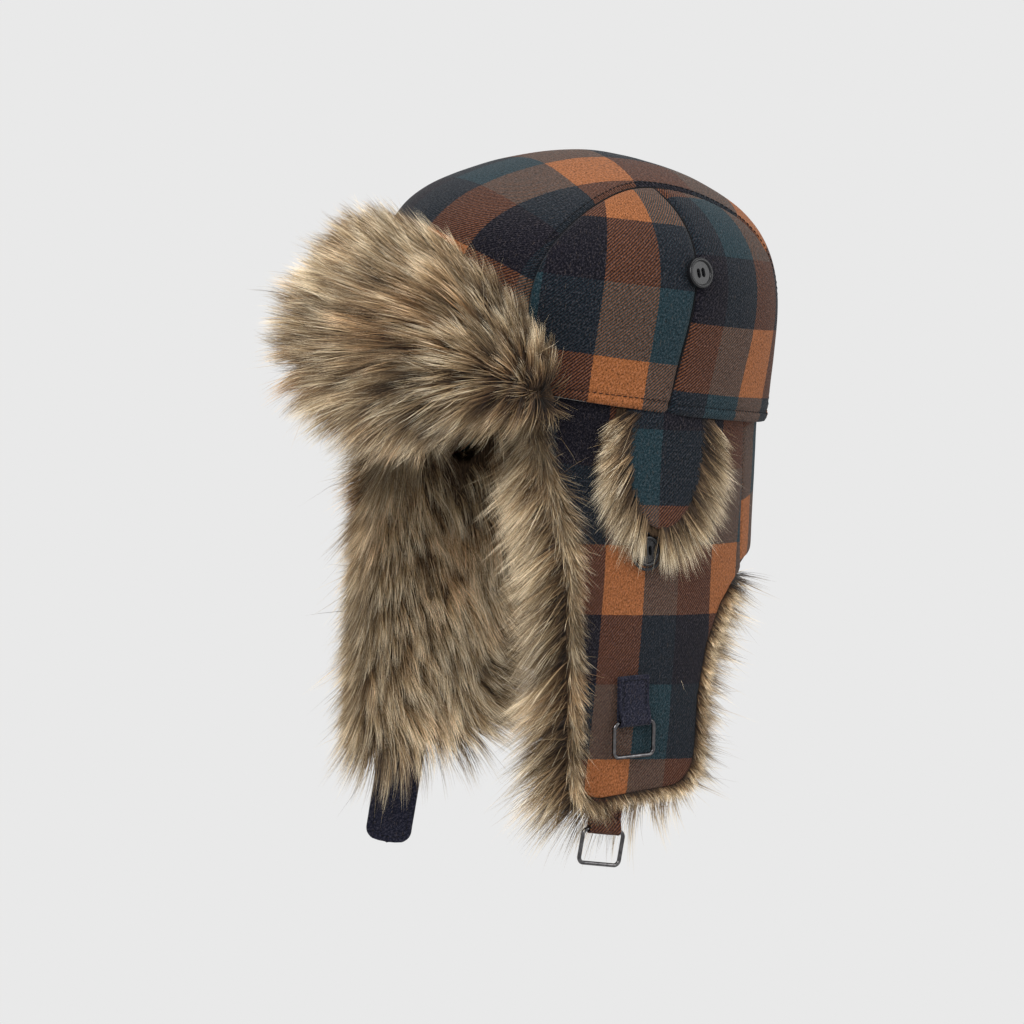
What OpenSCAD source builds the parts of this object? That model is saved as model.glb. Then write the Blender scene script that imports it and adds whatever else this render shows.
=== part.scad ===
// Trapper hat: a wool crown with a turned-up fur front flap, two ear flaps that each
// carry a buttoned ear cover, a neck flap, two strap rings and a chin strap.
// Millimetres. +Z is up, the front is -Y and the wearer's left is +X. The origin is the
// middle of the head opening, on the line where the crown's hem meets the flaps.

/* [Crown] */
// Half width of the crown at its hem
crown_a = 90; // [86:1:94]
// Half length of the crown at its hem, front to back
crown_b = 104; // [101:0.5:107]
// Height of the crown's top above the middle of the hem
crown_h = 126; // [122:1:130]
// How square the crown is across its levels, 2 being an ellipse
crown_n = 1.8; // [1.7:0.1:1.9]
// How square the crown is in height, 2 being an ellipse
crown_m = 3.4; // [3.2:0.1:3.6]
// How far the crown's wall swells between hem and shoulder, as a share of its radius
crown_swell = 0.18; // [0.15:0.01:0.2]
// Slope of the crown's top, which is lower at the back
crown_rake = 0.05; // [0.02:0.01:0.08]
// Size of the centre panel that runs front to back over the top: its half width where it
// is narrowest, before the swell
seam_x = 43; // [41:1:45]
// Tilt of the hem, which is higher at the forehead than at the nape, in degrees
hem_tilt = 12.4; // [11:0.1:13]

/* [Cloth and fur] */
// Thickness of the wool cloth
wool_t = 1.8; // [1.5:0.1:2]
// Thickness of the wadding between the wool and the lining
wadding_t = 4; // [3:0.5:5]
// Thickness of the lining
lining_t = 1.2; // [0.8:0.1:1.4]
// Clearance between two soft layers
layer_gap = 0.3; // [0.25:0.05:0.35]
// Clearance between the crown's hem and the flaps sewn below it
hem_gap = 0.6; // [0.5:0.1:0.8]
// How far the flaps are set in from the crown's outer face
flap_inset = 5; // [4.5:0.1:5.5]

/* [Front flap] */
// Height of the front flap's cloth at its middle
front_h = 74; // [68:1:78]
// Depth of the front flap's fur at its fullest
front_fur = 60; // [52:1:62]
// How far the front flap's fur reaches past the top of its cloth
front_fringe = 20; // [16:1:22]
// How far the front flap's fur hangs below the fold
front_droop = 26; // [20:1:28]

/* [Ear flaps] */
// Lowest line of an ear flap's cloth below the origin
ear_drop = 194; // [188:1:200]
// Depth of an ear flap's fur at its fullest
ear_fur = 24; // [20:1:26]
// How far an ear flap's fur reaches past its front and lower edges
ear_fringe = 28; // [22:1:29]
// Radius of the hearing hole behind each ear cover
hearing_r = 17; // [14:1:18]

/* [Neck flap] */
// Lowest line of the neck flap's cloth below the origin
neck_drop = 90; // [86:1:92]
// Depth of the neck flap's fur at its fullest
neck_fur = 18; // [14:1:20]
// How far the neck flap's fur hangs below its cloth
neck_fringe = 14; // [10:1:16]

/* [Ear covers] */
// Half width of an ear cover at the hem
cover_w = 27; // [25:1:29]
// Length of an ear cover from hem to tip
cover_l = 60; // [58:1:62]
// Distance of each button from the hem
button_reach = 73; // [72:1:74]

/* [Hardware] */
// Radius of a button
button_r = 8; // [7.5:0.1:8]
// Thickness of a button
button_t = 3.6; // [3:0.1:3.8]
// Radius of the ring wire
wire_r = 1.1; // [1:0.05:1.2]
// Clear width inside a ring
ring_w = 23.6; // [23.2:0.2:25]
// Clear height inside a ring
ring_h = 15.6; // [14:0.2:17]
// Width of the ring tabs
tab_w = 19; // [17:0.5:20]
// Width of the chin strap
strap_w = 23; // [20:0.5:23]
// Length of the chin strap that swings below the fur
strap_l = 25; // [22:1:34]
// Thickness of the chin strap
strap_t = 2.6; // [2:0.1:2.8]

/* [Hidden] */

$fn = 48;
hem_slope = tan(hem_tilt);
navy = "#1c2233";
plaid_brown = "#6a4a34";
plaid_teal = "#1f3a3f";
fur_tan = "#a08a68";
metal = "#b8b4ae";

// Crown grid: the seam runs up the wall to corner_ph and then over the shoulder
corner_ph = 9;
// How much wider the centre panel gets towards its ends, as a share of seam_x
seam_spread = 0.46;
corner_a = crown_a * pow(cos(corner_ph), 2 / crown_n);
seam_end = acos((sqrt(corner_a * corner_a + 4 * seam_x * seam_x * seam_spread * (1 + seam_spread))
    - corner_a) / (2 * seam_x * seam_spread));
wall_rows = 4;
shoulder_rows = 14;
across = 12;
side_rows = 8;
side_cols = shoulder_rows / 2;
// The side seam leans back from side_seam_low at the hem to side_seam_high at the top
side_seam_low = -8.5;
side_seam_high = 7.5;
// Half of the clearance in each seam of the crown, in degrees and as a share of width
seam_gap_deg = 0.07;
seam_gap_share = 0.003;
// Inner faces of the crown's layers, as distances in from its outer face
wadding_in = wool_t + layer_gap;
lining_in = wadding_in + wadding_t + layer_gap;

// The front flap starts front_gap off the crown and leans out; it spans front_half degrees
// either side of the middle, and is front_end_h high at its ends
front_gap = 1.2;
front_lean = 0.12;
front_half = 44;
front_end_h = 14;

// The plane where the ear flaps end and the neck flap starts, and the gap on its far side
split_y = 52;
split_gap = 1.6;
neck_taper = 0.035;
neck_len = 75;
neck_half_deg = 54;
// How fast an ear flap's skin curves in ahead of its middle line and behind it
ear_curve_front = 0.0012;
ear_curve_rear = 0.0035;
ear_mid_y = -20;
ear_flare = 8;
ear_corner_r = 17;
// Rear edge of an ear flap's cloth: distance below the origin, then y
ear_rear = [[0, split_y], [92, split_y], [97, 41], [105, 29], [124, 14], [150, 5], [181, 1]];
ear_front = [[-18, -77], [10, -76], [60, -76], [200, -79]];
// Clearance between an ear flap's shell and its fur, whose grids differ
fur_gap = 1;
// Slopes of the fur's skin where it runs on past the cloth's front and rear edges
fringe_slope_front = 0.12;
fringe_slope_rear = 0.45;

// Middle of the ear covers and line of the buttons along the hem, and how far a cover
// stands off
cover_s = -10.5;
button_s = -15.5;
cover_off_top = 4;
cover_off_tip = 6.5;
trim_side = 21;
trim_tip = 26;
cover_round = 2.6;
loop_r = 9.6;
loop_wire_r = 0.75;
loop_off = 3.3;
loop_leg = 7;
loop_leg_at = 1.4;
button_off = 1;
button_dish = 0.9;
rim_r = 1;
foot_h = 0.6;
foot_in = 1.4;
button_hole_r = 0.9;
button_hole_at = 1.6;
thread_r = 0.45;
shank_r = 1.5;

// Ring tabs: a strip folded round the ring's bar
tab_t = 2.4;
tab_skin = 1.2;
bar_gap = 0.08;
upper_tab_at = [-42, -132];
upper_tab_l = 24;
upper_tab_lean = -3;
end_tab_y = -58;
end_tab_l = 15.5;
ring_corner_r = 3;
strap_y = -43;
// The strap hangs turned away from the flap
strap_turn = 35;
strap_corner_r = 7;
strap_root_l = 32;
strap_joint_gap = 0.35;
patch_t = 0.8;
patch_margin = 3;

function mix(a, b, t) = a + (b - a) * t;
function clamp01(t) = min(1, max(0, t));
function smooth(t) = let (c = clamp01(t)) c * c * (3 - 2 * c);
function unit(v) = v / norm(v);
function hem_z(y) = -hem_slope * y;

// A point below (p < 0) or above the hem at s along it, as [y, z]
function hem_point(s, p) =
    [s * cos(hem_tilt) + p * sin(hem_tilt), -s * sin(hem_tilt) + p * cos(hem_tilt)];

// ---- Shapes of the soft surfaces ----

// The crown's skin: th turns round it from the wearer's left, ph climbs from hem to top
function crown_point(th, ph, off = 0) =
    let (
        swell = 1 + crown_swell * sin(2 * ph),
        rho = pow(max(0, cos(ph)), 2 / crown_n) * swell,
        rise = pow(max(0, sin(ph)), 2 / crown_m),
        a = crown_a + off,
        b = crown_b + off
    )
    [a * rho * cos(th), b * rho * sin(th),
        hem_z(b * sin(th)) * (1 - rise) + (crown_h + off - crown_rake * b * rho * sin(th)) * rise];

// Where a side panel ends against the centre panel
function shoulder_ph(th) =
    acos(min(1, pow(seam_x * (1 + seam_spread * pow(sin(th), 2)) / (crown_a * cos(th)),
        crown_n / 2)));

function side_seam(t) = mix(side_seam_low, side_seam_high, t);

// Heights are evenly spread when the angle goes with this power
function ph_at(top, t) = top * pow(t, crown_m / 2);

function side_point(th, t, off) = crown_point(th, ph_at(shoulder_ph(th), t), off);

// Column w of a side panel, from 0 at its front edge to 2 at its rear edge, closer
// together towards both edges, with 1 on the side seam
function side_th(w, t) =
    w <= 1
        ? mix(-seam_end, side_seam(t), 1 - cos(90 * w))
        : mix(side_seam(t), seam_end, sin(90 * (w - 1)));

// The seam between a side panel and the centre panel, from the front hem to the rear hem
function seam_at(k) =
    k < wall_rows ? [-seam_end, ph_at(corner_ph, k / wall_rows)] :
    k > wall_rows + shoulder_rows
        ? [seam_end, ph_at(corner_ph, (2 * wall_rows + shoulder_rows - k) / wall_rows)] :
    let (th = side_th(2 * (k - wall_rows) / shoulder_rows, 1)) [th, shoulder_ph(th)];

function centre_point(k, tau, off) =
    let (
        s = seam_at(k),
        d = unit([tau * cos(s[1]) * cos(s[0]), cos(s[1]) * sin(s[0]), sin(s[1])])
    )
    crown_point(atan2(d[1], d[0]), asin(min(1, d[2])), off);

// The ear flap's outer skin as x over y and z, for the wearer's left side
function ear_front_y(z) = lookup(-z, ear_front);
function ear_rear_y(z) = lookup(-z, ear_rear);
function ear_skin(y, z) =
    let (
        a = crown_a - flap_inset,
        b = crown_b - flap_inset,
        at_hem = a * sqrt(1 - pow(y / b, 2)),
        curve = y < ear_mid_y ? ear_curve_front : ear_curve_rear,
        low = a - curve * pow(y - ear_mid_y, 2),
        depth = hem_z(y) - z
    )
    mix(at_hem, low, smooth(depth / neck_drop)) + ear_flare * smooth(depth / ear_drop);
function ear_x(y, z) =
    let (
        front = ear_front_y(z),
        rear = ear_rear_y(z)
    )
    y < front ? ear_skin(front, z) + fringe_slope_front * (y - front) :
    y > rear ? ear_skin(rear, z) - fringe_slope_rear * (y - rear) :
    ear_skin(y, z);

// The neck flap's outer skin, th measured round the back
function neck_point(th, depth, off = 0) =
    let (
        shrink = 1 - neck_taper * depth / neck_len,
        a = (crown_a - flap_inset) * shrink + off,
        b = (crown_b - flap_inset) * shrink + off,
        y = b * sin(th)
    )
    [a * cos(th), y, hem_z(y) - depth];

// The front flap's inner face, set off from the crown and leaning out as it rises
function front_point(th, q, off = 0) =
    let (e = front_gap + front_lean * max(0, q) + off)
    [(crown_a + e) * cos(th), (crown_b + e) * sin(th), hem_z(crown_b * sin(th)) + q];
function front_top(u) = mix(front_h, front_end_h, pow(abs(u), 2.2));

// ---- Solids between two grids of points ----

// A closed solid between an outer grid and an inner grid. Rows run from the first edge
// to the last, and the outer grid is seen with its rows running anticlockwise.
module sheet(outer, inner) {
    rows = len(outer);
    cols = len(outer[0]);
    n = rows * cols;
    points = [for (grid = [outer, inner]) for (row = grid) each row];
    quads = [
        for (i = [0:rows - 2]) for (j = [0:cols - 2]) let (a = i * cols + j)
            each [[a, a + 1, a + cols + 1, a + cols],
                [n + a, n + a + cols, n + a + cols + 1, n + a + 1]],
        for (j = [0:cols - 2]) let (a = j, b = (rows - 1) * cols + j)
            each [[a + 1, a, n + a, n + a + 1], [b, b + 1, n + b + 1, n + b]],
        for (i = [0:rows - 2]) let (a = i * cols, b = i * cols + cols - 1)
            each [[a, a + cols, n + a + cols, n + a], [b + cols, b, n + b, n + b + cols]]
    ];
    polyhedron(points, [for (q = quads) each [[q[0], q[1], q[2]], [q[0], q[2], q[3]]]],
        convexity = 6);
}

// The same solid on the wearer's right
module on_side(side) {
    if (side > 0)
        children();
    else
        mirror([1, 0, 0]) children();
}

// ---- Crown ----

module centre_panel(outer_in, inner_in) {
    rows = 2 * wall_rows + shoulder_rows;
    function grid(off) = [for (k = [0:rows]) [for (j = [0:across])
        centre_point(k, (2 * j / across - 1) * (1 - seam_gap_share), off)]];
    sheet(grid(-inner_in), grid(-outer_in));
}

// One side panel from its front or rear edge to the side seam, or the whole side
module side_panel(outer_in, inner_in, part) {
    first = part == "rear" ? side_cols : 0;
    last = part == "front" ? side_cols : 2 * side_cols;
    // Both panels stop just short of the side seam
    function gap(j) = part == "whole" || j != side_cols ? 0 : part == "front" ? -1 : 1;
    function grid(off) = [for (i = [0:side_rows]) let (t = i / side_rows)
        [for (j = [first:last])
            side_point(side_th(j / side_cols, t) + seam_gap_deg * gap(j), t, off)]];
    sheet(grid(-inner_in), grid(-outer_in));
}

module crown_layer(outer_in, inner_in) {
    centre_panel(outer_in, inner_in);
    for (side = [1, -1])
        on_side(side) side_panel(outer_in, inner_in, "whole");
}

module crown_center_panel() {
    color(navy) centre_panel(0, wool_t);
}

module crown_side_panel(side, part) {
    color(part == "front" ? plaid_brown : plaid_teal)
        on_side(side) side_panel(0, wool_t, part);
}

module crown_wadding() {
    color("white") crown_layer(wadding_in, wadding_in + wadding_t);
}

module crown_lining() {
    color("#24262b") crown_layer(lining_in, lining_in + lining_t);
}

// ---- Buttons ----

// Puts children with their z axis along a surface's outward normal
module facing(point, normal) {
    translate(point)
        rotate([0, acos(normal[2]), atan2(normal[1], normal[0])])
            children();
}

// Where the crown button sits: over the side seam, button_reach above the hem
crown_button_yz = hem_point(button_s, button_reach);
crown_button_rise = (crown_button_yz[1] - hem_z(crown_button_yz[0])) / crown_h;
crown_button_ph = asin(pow(crown_button_rise, crown_m / 2));
crown_button_th = asin(crown_button_yz[0] / crown_b);
function crown_normal(th, ph) =
    unit(cross(crown_point(th + 1, ph) - crown_point(th - 1, ph),
        crown_point(th, ph + 1) - crown_point(th, ph - 1)));

flap_button_yz = hem_point(button_s, -button_reach);
function ear_at(y, z, off = 0) = [ear_x(y, z) + off, y, z];
function ear_normal(y, z) =
    unit(cross(ear_at(y + 1, z) - ear_at(y - 1, z), ear_at(y, z + 1) - ear_at(y, z - 1)));

module at_crown_button() {
    facing(crown_point(crown_button_th, crown_button_ph),
        crown_normal(crown_button_th, crown_button_ph))
        children();
}

module at_flap_button() {
    facing(ear_at(flap_button_yz[0], flap_button_yz[1]),
        ear_normal(flap_button_yz[0], flap_button_yz[1]))
        children();
}

// A dished four-hole button with a raised rim, its back button_off above the cloth
module button() {
    translate([0, 0, button_off])
        difference() {
            rotate_extrude() {
                translate([0, foot_h]) square([button_r - rim_r, button_t - button_dish - foot_h]);
                polygon([[0, 0], [button_r - rim_r - foot_in, 0], [button_r - rim_r, foot_h],
                    [0, foot_h]]);
                translate([button_r - rim_r, foot_h]) square([rim_r, button_t - foot_h - rim_r]);
                translate([button_r - rim_r, button_t - rim_r]) circle(rim_r);
            }
            for (x = [-1, 1], y = [-1, 1])
                translate([x * button_hole_at, y * button_hole_at, -1])
                    cylinder(r = button_hole_r, h = button_t + 2);
        }
}

// The sewing: a thread shank below the button and two stitches through its holes
module button_thread() {
    face = button_off + button_t - button_dish;
    foot = 0.2;
    translate([0, 0, foot]) cylinder(r = shank_r + button_hole_at, h = button_off - 2 * foot);
    for (y = [-1, 1]) {
        for (x = [-1, 1])
            translate([x * button_hole_at, y * button_hole_at, foot])
                cylinder(r = thread_r, h = face + thread_r);
        translate([-button_hole_at, y * button_hole_at, face + thread_r + foot])
            rotate([0, 90, 0]) cylinder(r = thread_r, h = 2 * button_hole_at);
    }
}

module crown_buttons() {
    color("black")
        for (side = [1, -1])
            on_side(side) at_crown_button() button();
}

module crown_button_threads() {
    color("dimgray")
        for (side = [1, -1])
            on_side(side) at_crown_button() button_thread();
}

module flap_button(side) {
    color("black") on_side(side) at_flap_button() button();
}

module flap_button_thread(side) {
    color("dimgray") on_side(side) at_flap_button() button_thread();
}

// ---- Front flap ----

module front_sheet(cols, rows, low, high, inner, outer) {
    // low and high give q over u, inner and outer give the offset over u and v
    function grid(face) = [for (i = [0:rows]) let (v = i / rows)
        [for (j = [0:cols]) let (u = 2 * j / cols - 1)
            front_point(-90 + front_half * u, mix(low(u), high(u), v), face(u, v))]];
    sheet(grid(inner), grid(outer));
}

module front_flap_backing() {
    color(plaid_brown)
        front_sheet(12, 5, function (u) hem_gap, function (u) front_top(u),
            function (u, v) 0, function (u, v) wool_t);
}

module front_flap_fur() {
    skin = wool_t + layer_gap;
    thin = 7;
    low = function (u) -mix(front_droop, 3, smooth(abs(u) * 1.1));
    high = function (u) front_top(u) + mix(front_fringe, 8, pow(abs(u), 3));
    // Below the fold the fur stands clear of the hinge line
    inner = function (u, v) skin + 0.7 * max(0, -mix(low(u), high(u), v));
    full = function (u) mix(front_fur, front_fur * 0.42, pow(abs(u), 6));
    outer = function (u, v) inner(u, v) + mix(thin, full(u), pow(sin(180 * sqrt(v)), 0.6));
    color(fur_tan) front_sheet(14, 10, low, high, inner, outer);
}

// ---- Neck flap ----

module neck_sheet(cols, rows, low, thick_in, thick) {
    // low gives the depth of the lower edge, thick_in and thick the offsets over u and v.
    // Both ends lie in the split plane at any offset.
    function end_at(depth, off) =
        let (b = (crown_b - flap_inset) * (1 - neck_taper * depth / neck_len) - off)
        asin((split_y + split_gap) / b);
    function grid(face) = [for (i = [0:rows]) let (v = i / rows)
        [for (j = [0:cols]) let (
            u = 2 * j / cols - 1,
            drop = low + hem_z(crown_b * cos(neck_half_deg * u)),
            depth = mix(hem_gap, drop, v),
            th = 90 + (90 - end_at(depth, face(u, v))) * u)
            neck_point(th, depth, -face(u, v))]];
    sheet(grid(thick), grid(thick_in));
}

module neck_flap_shell() {
    color(plaid_teal)
        neck_sheet(16, 5, neck_drop, function (u, v) 0, function (u, v) wool_t);
}

module neck_flap_fur() {
    skin = wool_t + layer_gap;
    color(fur_tan)
        neck_sheet(16, 6, neck_drop + neck_fringe, function (u, v) skin,
            function (u, v) skin + mix(7, neck_fur, pow(sin(160 * v + 20), 0.7)));
}

// ---- Ear flaps ----

// A sheet over the ear flap's outline grown by the given margins
module ear_sheet(cols, rows, front_by, rear_by, low_by, near, far) {
    // front_by and rear_by give a margin over z; near and far give depths in over u and v
    floor_z = -ear_drop - low_by;
    corner = ear_corner_r + low_by;
    function inset(z) = let (h = z - floor_z)
        h < corner ? corner - sqrt(corner * corner - pow(corner - h, 2)) : 0;
    function edge(v, front) =
        let (
            top = hem_z(front ? ear_front[0][1] : split_y) - hem_gap,
            z = mix(top, floor_z, v),
            y = front ? ear_front_y(z) - front_by(z) + inset(z) : ear_rear_y(z) + rear_by(z) - inset(z)
        )
        [y, z];
    function grid(face) = [for (i = [0:rows]) let (
        v = sin(90 * i / rows),
        f = edge(v, true),
        r = edge(v, false))
        [for (j = [0:cols]) let (u = j / cols, p = mix(f, r, u))
            [ear_x(p[0], p[1]) - face(u, v), p[0], p[1]]]];
    sheet(grid(far), grid(near));
}

module hearing_hole() {
    at = hem_point(cover_s, -cover_l / 2 - 2);
    translate([0, at[0], at[1]])
        rotate([0, 90, 0]) cylinder(r = hearing_r, h = 2 * crown_a);
}

module ear_flap_shell(side) {
    none = function (z) 0;
    color(plaid_brown)
        on_side(side)
            difference() {
                ear_sheet(10, 14, none, none, 0, function (u, v) 0, function (u, v) wool_t);
                hearing_hole();
            }
}

module ear_flap_fur(side) {
    skin = wool_t + fur_gap;
    front_by = function (z) ear_fringe * smooth((8 - z) / 44);
    rear_by = function (z) 15 * smooth((-z - 95) / 14);
    thick = function (u, v) mix(8, ear_fur, pow(sin(180 * u), 0.5) * pow(sin(155 * v + 25), 0.7));
    // The pile's base draws back from the cloth where it curves round the temple
    base = function (u, v) skin + 2 * smooth(1 - 2 * u) * smooth(2 - 5 * v);
    color(fur_tan)
        on_side(side)
            difference() {
                ear_sheet(12, 14, front_by, rear_by, ear_fringe + 1, base,
                    function (u, v) skin + thick(u, v));
                hearing_hole();
                on_side(side) strap_pocket();
            }
}

// ---- Ear covers ----

function cover_half(p, w, l) = w * sqrt(max(0, 1 - pow(p / l, cover_round)));
function cover_off(p) = mix(cover_off_top, cover_off_tip, p / cover_l);

// A U-shaped sheet that hangs from the hem over the hearing hole
module cover_sheet(cols, rows, w, l, blunt, near, far) {
    function grid(face) = [for (i = [0:rows]) let (
        p = mix(1, l, sin(90 * i / rows)),
        half = max(blunt, cover_half(p, w, l)))
        [for (j = [0:cols]) let (yz = hem_point(cover_s + half * (2 * j / cols - 1), -p))
            ear_at(yz[0], yz[1], face(p))]];
    sheet(grid(near), grid(far));
}

module ear_cover_shell(side) {
    color(plaid_teal)
        on_side(side)
            cover_sheet(8, 10, cover_w, cover_l, 3,
                function (p) cover_off(p) - wool_t, function (p) cover_off(p));
}

module ear_cover_fur(side) {
    color(fur_tan)
        on_side(side)
            difference() {
                cover_sheet(10, 12, cover_w + trim_side, cover_l + trim_tip, 8,
                    function (p) 0.5, function (p) cover_off(p) - wool_t - layer_gap);
                at_flap_button() {
                    cylinder(r = loop_r + loop_wire_r + 0.6, h = 24, center = true);
                    translate([-loop_r - loop_leg - 1, -loop_leg_at - loop_wire_r - 0.6, -12])
                        cube([loop_leg + 1, 2 * (loop_leg_at + loop_wire_r + 0.6), 24]);
                }
            }
}

module ear_cover_loop(side) {
    color("black")
        on_side(side) at_flap_button() translate([0, 0, loop_off]) {
            rotate_extrude() translate([loop_r, 0]) circle(loop_wire_r);
            for (y = [-loop_leg_at, loop_leg_at])
                translate([-loop_r, y, 0]) rotate([0, -90, 0])
                    cylinder(r = loop_wire_r, h = loop_leg);
        }
}

// ---- Rings and their tabs ----

bore_r = wire_r + bar_gap;

// A strip folded round a bar: z = 0 is its top edge, x = 0 its back
module ring_tab(length) {
    loop_out = bore_r + tab_skin;
    difference() {
        union() {
            translate([0, -tab_w / 2, -length]) cube([tab_t, tab_w, length]);
            translate([loop_out, tab_w / 2, -length]) rotate([90, 0, 0])
                cylinder(r = loop_out, h = tab_w);
        }
        translate([loop_out, tab_w, -length]) rotate([90, 0, 0])
            cylinder(r = bore_r, h = 2 * tab_w);
    }
}

// A ring of round wire whose upper bar lies along y through the origin
module wire_ring() {
    half_w = ring_w / 2 + wire_r;
    height = ring_h + 2 * wire_r;
    straight_w = 2 * (half_w - ring_corner_r);
    straight_h = height - 2 * ring_corner_r;
    for (z = [0, -height])
        translate([0, straight_w / 2, z]) rotate([90, 0, 0]) cylinder(r = wire_r, h = straight_w);
    for (y = [-half_w, half_w])
        translate([0, y, -ring_corner_r - straight_h]) cylinder(r = wire_r, h = straight_h);
    for (k = [0:3]) {
        y = (k == 0 || k == 3 ? 1 : -1) * straight_w / 2;
        z = k < 2 ? -ring_corner_r : ring_corner_r - height;
        translate([0, y, z]) rotate([90, 0, 90]) rotate([0, 0, 90 * k])
            rotate_extrude(angle = 90) translate([ring_corner_r, 0]) circle(wire_r);
    }
}

// The upper tab lies on the left ear flap's outer face
module at_upper_tab() {
    y = upper_tab_at[0];
    z = upper_tab_at[1];
    n = ear_normal(y, z - upper_tab_l / 2);
    translate(ear_at(y, z, 0.6))
        rotate([upper_tab_lean, -asin(n[2]), atan2(n[1], n[0])]) children();
}

// The end tab hangs from the left ear flap's lower edge, square to the hem
module at_end_tab() {
    z = -ear_drop - 2;
    n = ear_normal(end_tab_y, z);
    translate(ear_at(end_tab_y, z, layer_gap - wool_t))
        rotate([-hem_tilt, 0, 0]) rotate([0, 0, atan2(n[1], n[0])]) children();
}

module at_bar(length) {
    translate([bore_r + tab_skin, 0, -length]) children();
}

module upper_ring_tab() {
    color(navy) at_upper_tab() ring_tab(upper_tab_l);
}

module end_ring_tab() {
    color(plaid_brown) at_end_tab() ring_tab(end_tab_l);
}

module upper_ring() {
    color(metal) at_upper_tab() at_bar(upper_tab_l) wire_ring();
}

module end_ring() {
    color(metal) at_end_tab() at_bar(end_tab_l) wire_ring();
}

// ---- Chin strap on the right ear flap ----

module at_strap() {
    z = -ear_drop - 2;
    n = ear_normal(strap_y, z);
    mirror([1, 0, 0])
        translate(ear_at(strap_y, z, layer_gap))
            rotate([-hem_tilt, 0, 0])
                rotate([0, 0, atan2(n[1], n[0]) + strap_turn]) children();
}

// Room in the fur for the strap's sewn end
module strap_pocket() {
    margin = 1;
    at_strap()
        translate([-margin, -strap_w / 2 - margin, -2 * strap_root_l])
            cube([strap_t + 2 * margin, strap_w + 2 * margin, 3 * strap_root_l]);
}

// The sewn end, from the cloth's edge to the bend at the foot of the fur
module chin_strap_root() {
    color(navy) at_strap()
        translate([0, -strap_w / 2, -strap_root_l]) cube([strap_t, strap_w, strap_root_l]);
}

// The free end: a round edge at the bend and two rounded corners at the tip
module chin_strap() {
    color(navy) at_strap()
        translate([strap_t / 2, 0, -strap_root_l - strap_joint_gap - strap_t / 2]) {
            translate([0, strap_w / 2, 0]) rotate([90, 0, 0])
                cylinder(r = strap_t / 2, h = strap_w);
            translate([-strap_t / 2, 0, 0]) rotate([90, 0, 90])
                linear_extrude(strap_t) strap_outline();
        }
}

module strap_outline() {
    inner = strap_w / 2 - strap_corner_r;
    translate([-strap_w / 2, strap_corner_r - strap_l])
        square([strap_w, strap_l - strap_corner_r]);
    translate([-inner, -strap_l]) square([2 * inner, strap_corner_r]);
    for (y = [-inner, inner])
        translate([y, strap_corner_r - strap_l]) circle(strap_corner_r);
}

// The patch of hooks on the strap's outer face
module strap_hook_patch() {
    w = strap_w - 2 * patch_margin;
    color("black") at_strap()
        translate([strap_t, -w / 2, -strap_root_l - strap_l + patch_margin])
            cube([patch_t, w, strap_l - 3 * patch_margin]);
}

crown_center_panel();
crown_side_panel(1, "front");  // crown_left_front_panel
crown_side_panel(1, "rear");  // crown_left_rear_panel
crown_side_panel(-1, "front");  // crown_right_front_panel
crown_side_panel(-1, "rear");  // crown_right_rear_panel
crown_wadding();
crown_lining();
crown_buttons();
crown_button_threads();
front_flap_backing();
front_flap_fur();
neck_flap_shell();
neck_flap_fur();
ear_flap_shell(1);  // ear_flap_left_shell
ear_flap_fur(1);  // ear_flap_left_fur
ear_flap_shell(-1);  // ear_flap_right_shell
ear_flap_fur(-1);  // ear_flap_right_fur
flap_button(1);  // flap_button_left
flap_button(-1);  // flap_button_right
flap_button_thread(1);  // flap_button_thread_left
flap_button_thread(-1);  // flap_button_thread_right
ear_cover_shell(1);  // ear_cover_left_shell
ear_cover_fur(1);  // ear_cover_left_fur
ear_cover_loop(1);  // ear_cover_left_loop
ear_cover_shell(-1);  // ear_cover_right_shell
ear_cover_fur(-1);  // ear_cover_right_fur
ear_cover_loop(-1);  // ear_cover_right_loop
upper_ring_tab();
end_ring_tab();
upper_ring();
end_ring();
chin_strap_root();
chin_strap();
strap_hook_patch();
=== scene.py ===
"""Looks of the trapper hat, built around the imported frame. Lengths are in mm until a mesh is made."""
import math

import bpy
import numpy as np
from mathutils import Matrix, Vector
from mathutils.kdtree import KDTree


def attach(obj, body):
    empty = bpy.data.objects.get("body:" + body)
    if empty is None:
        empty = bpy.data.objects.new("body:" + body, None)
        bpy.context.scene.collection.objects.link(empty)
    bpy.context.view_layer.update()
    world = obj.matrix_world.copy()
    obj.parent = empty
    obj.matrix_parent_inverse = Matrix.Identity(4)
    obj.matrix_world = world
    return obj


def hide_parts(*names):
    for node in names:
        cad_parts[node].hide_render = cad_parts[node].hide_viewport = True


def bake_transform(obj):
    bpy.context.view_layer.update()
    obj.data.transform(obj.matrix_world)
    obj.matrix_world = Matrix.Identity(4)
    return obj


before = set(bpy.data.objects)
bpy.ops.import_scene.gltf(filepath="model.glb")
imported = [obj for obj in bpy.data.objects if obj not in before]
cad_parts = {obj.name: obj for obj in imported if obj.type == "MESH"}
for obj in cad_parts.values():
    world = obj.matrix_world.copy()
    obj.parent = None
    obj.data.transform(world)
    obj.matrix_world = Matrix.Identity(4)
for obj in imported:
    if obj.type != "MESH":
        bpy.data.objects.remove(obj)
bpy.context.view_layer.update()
MM = 0.001

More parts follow.
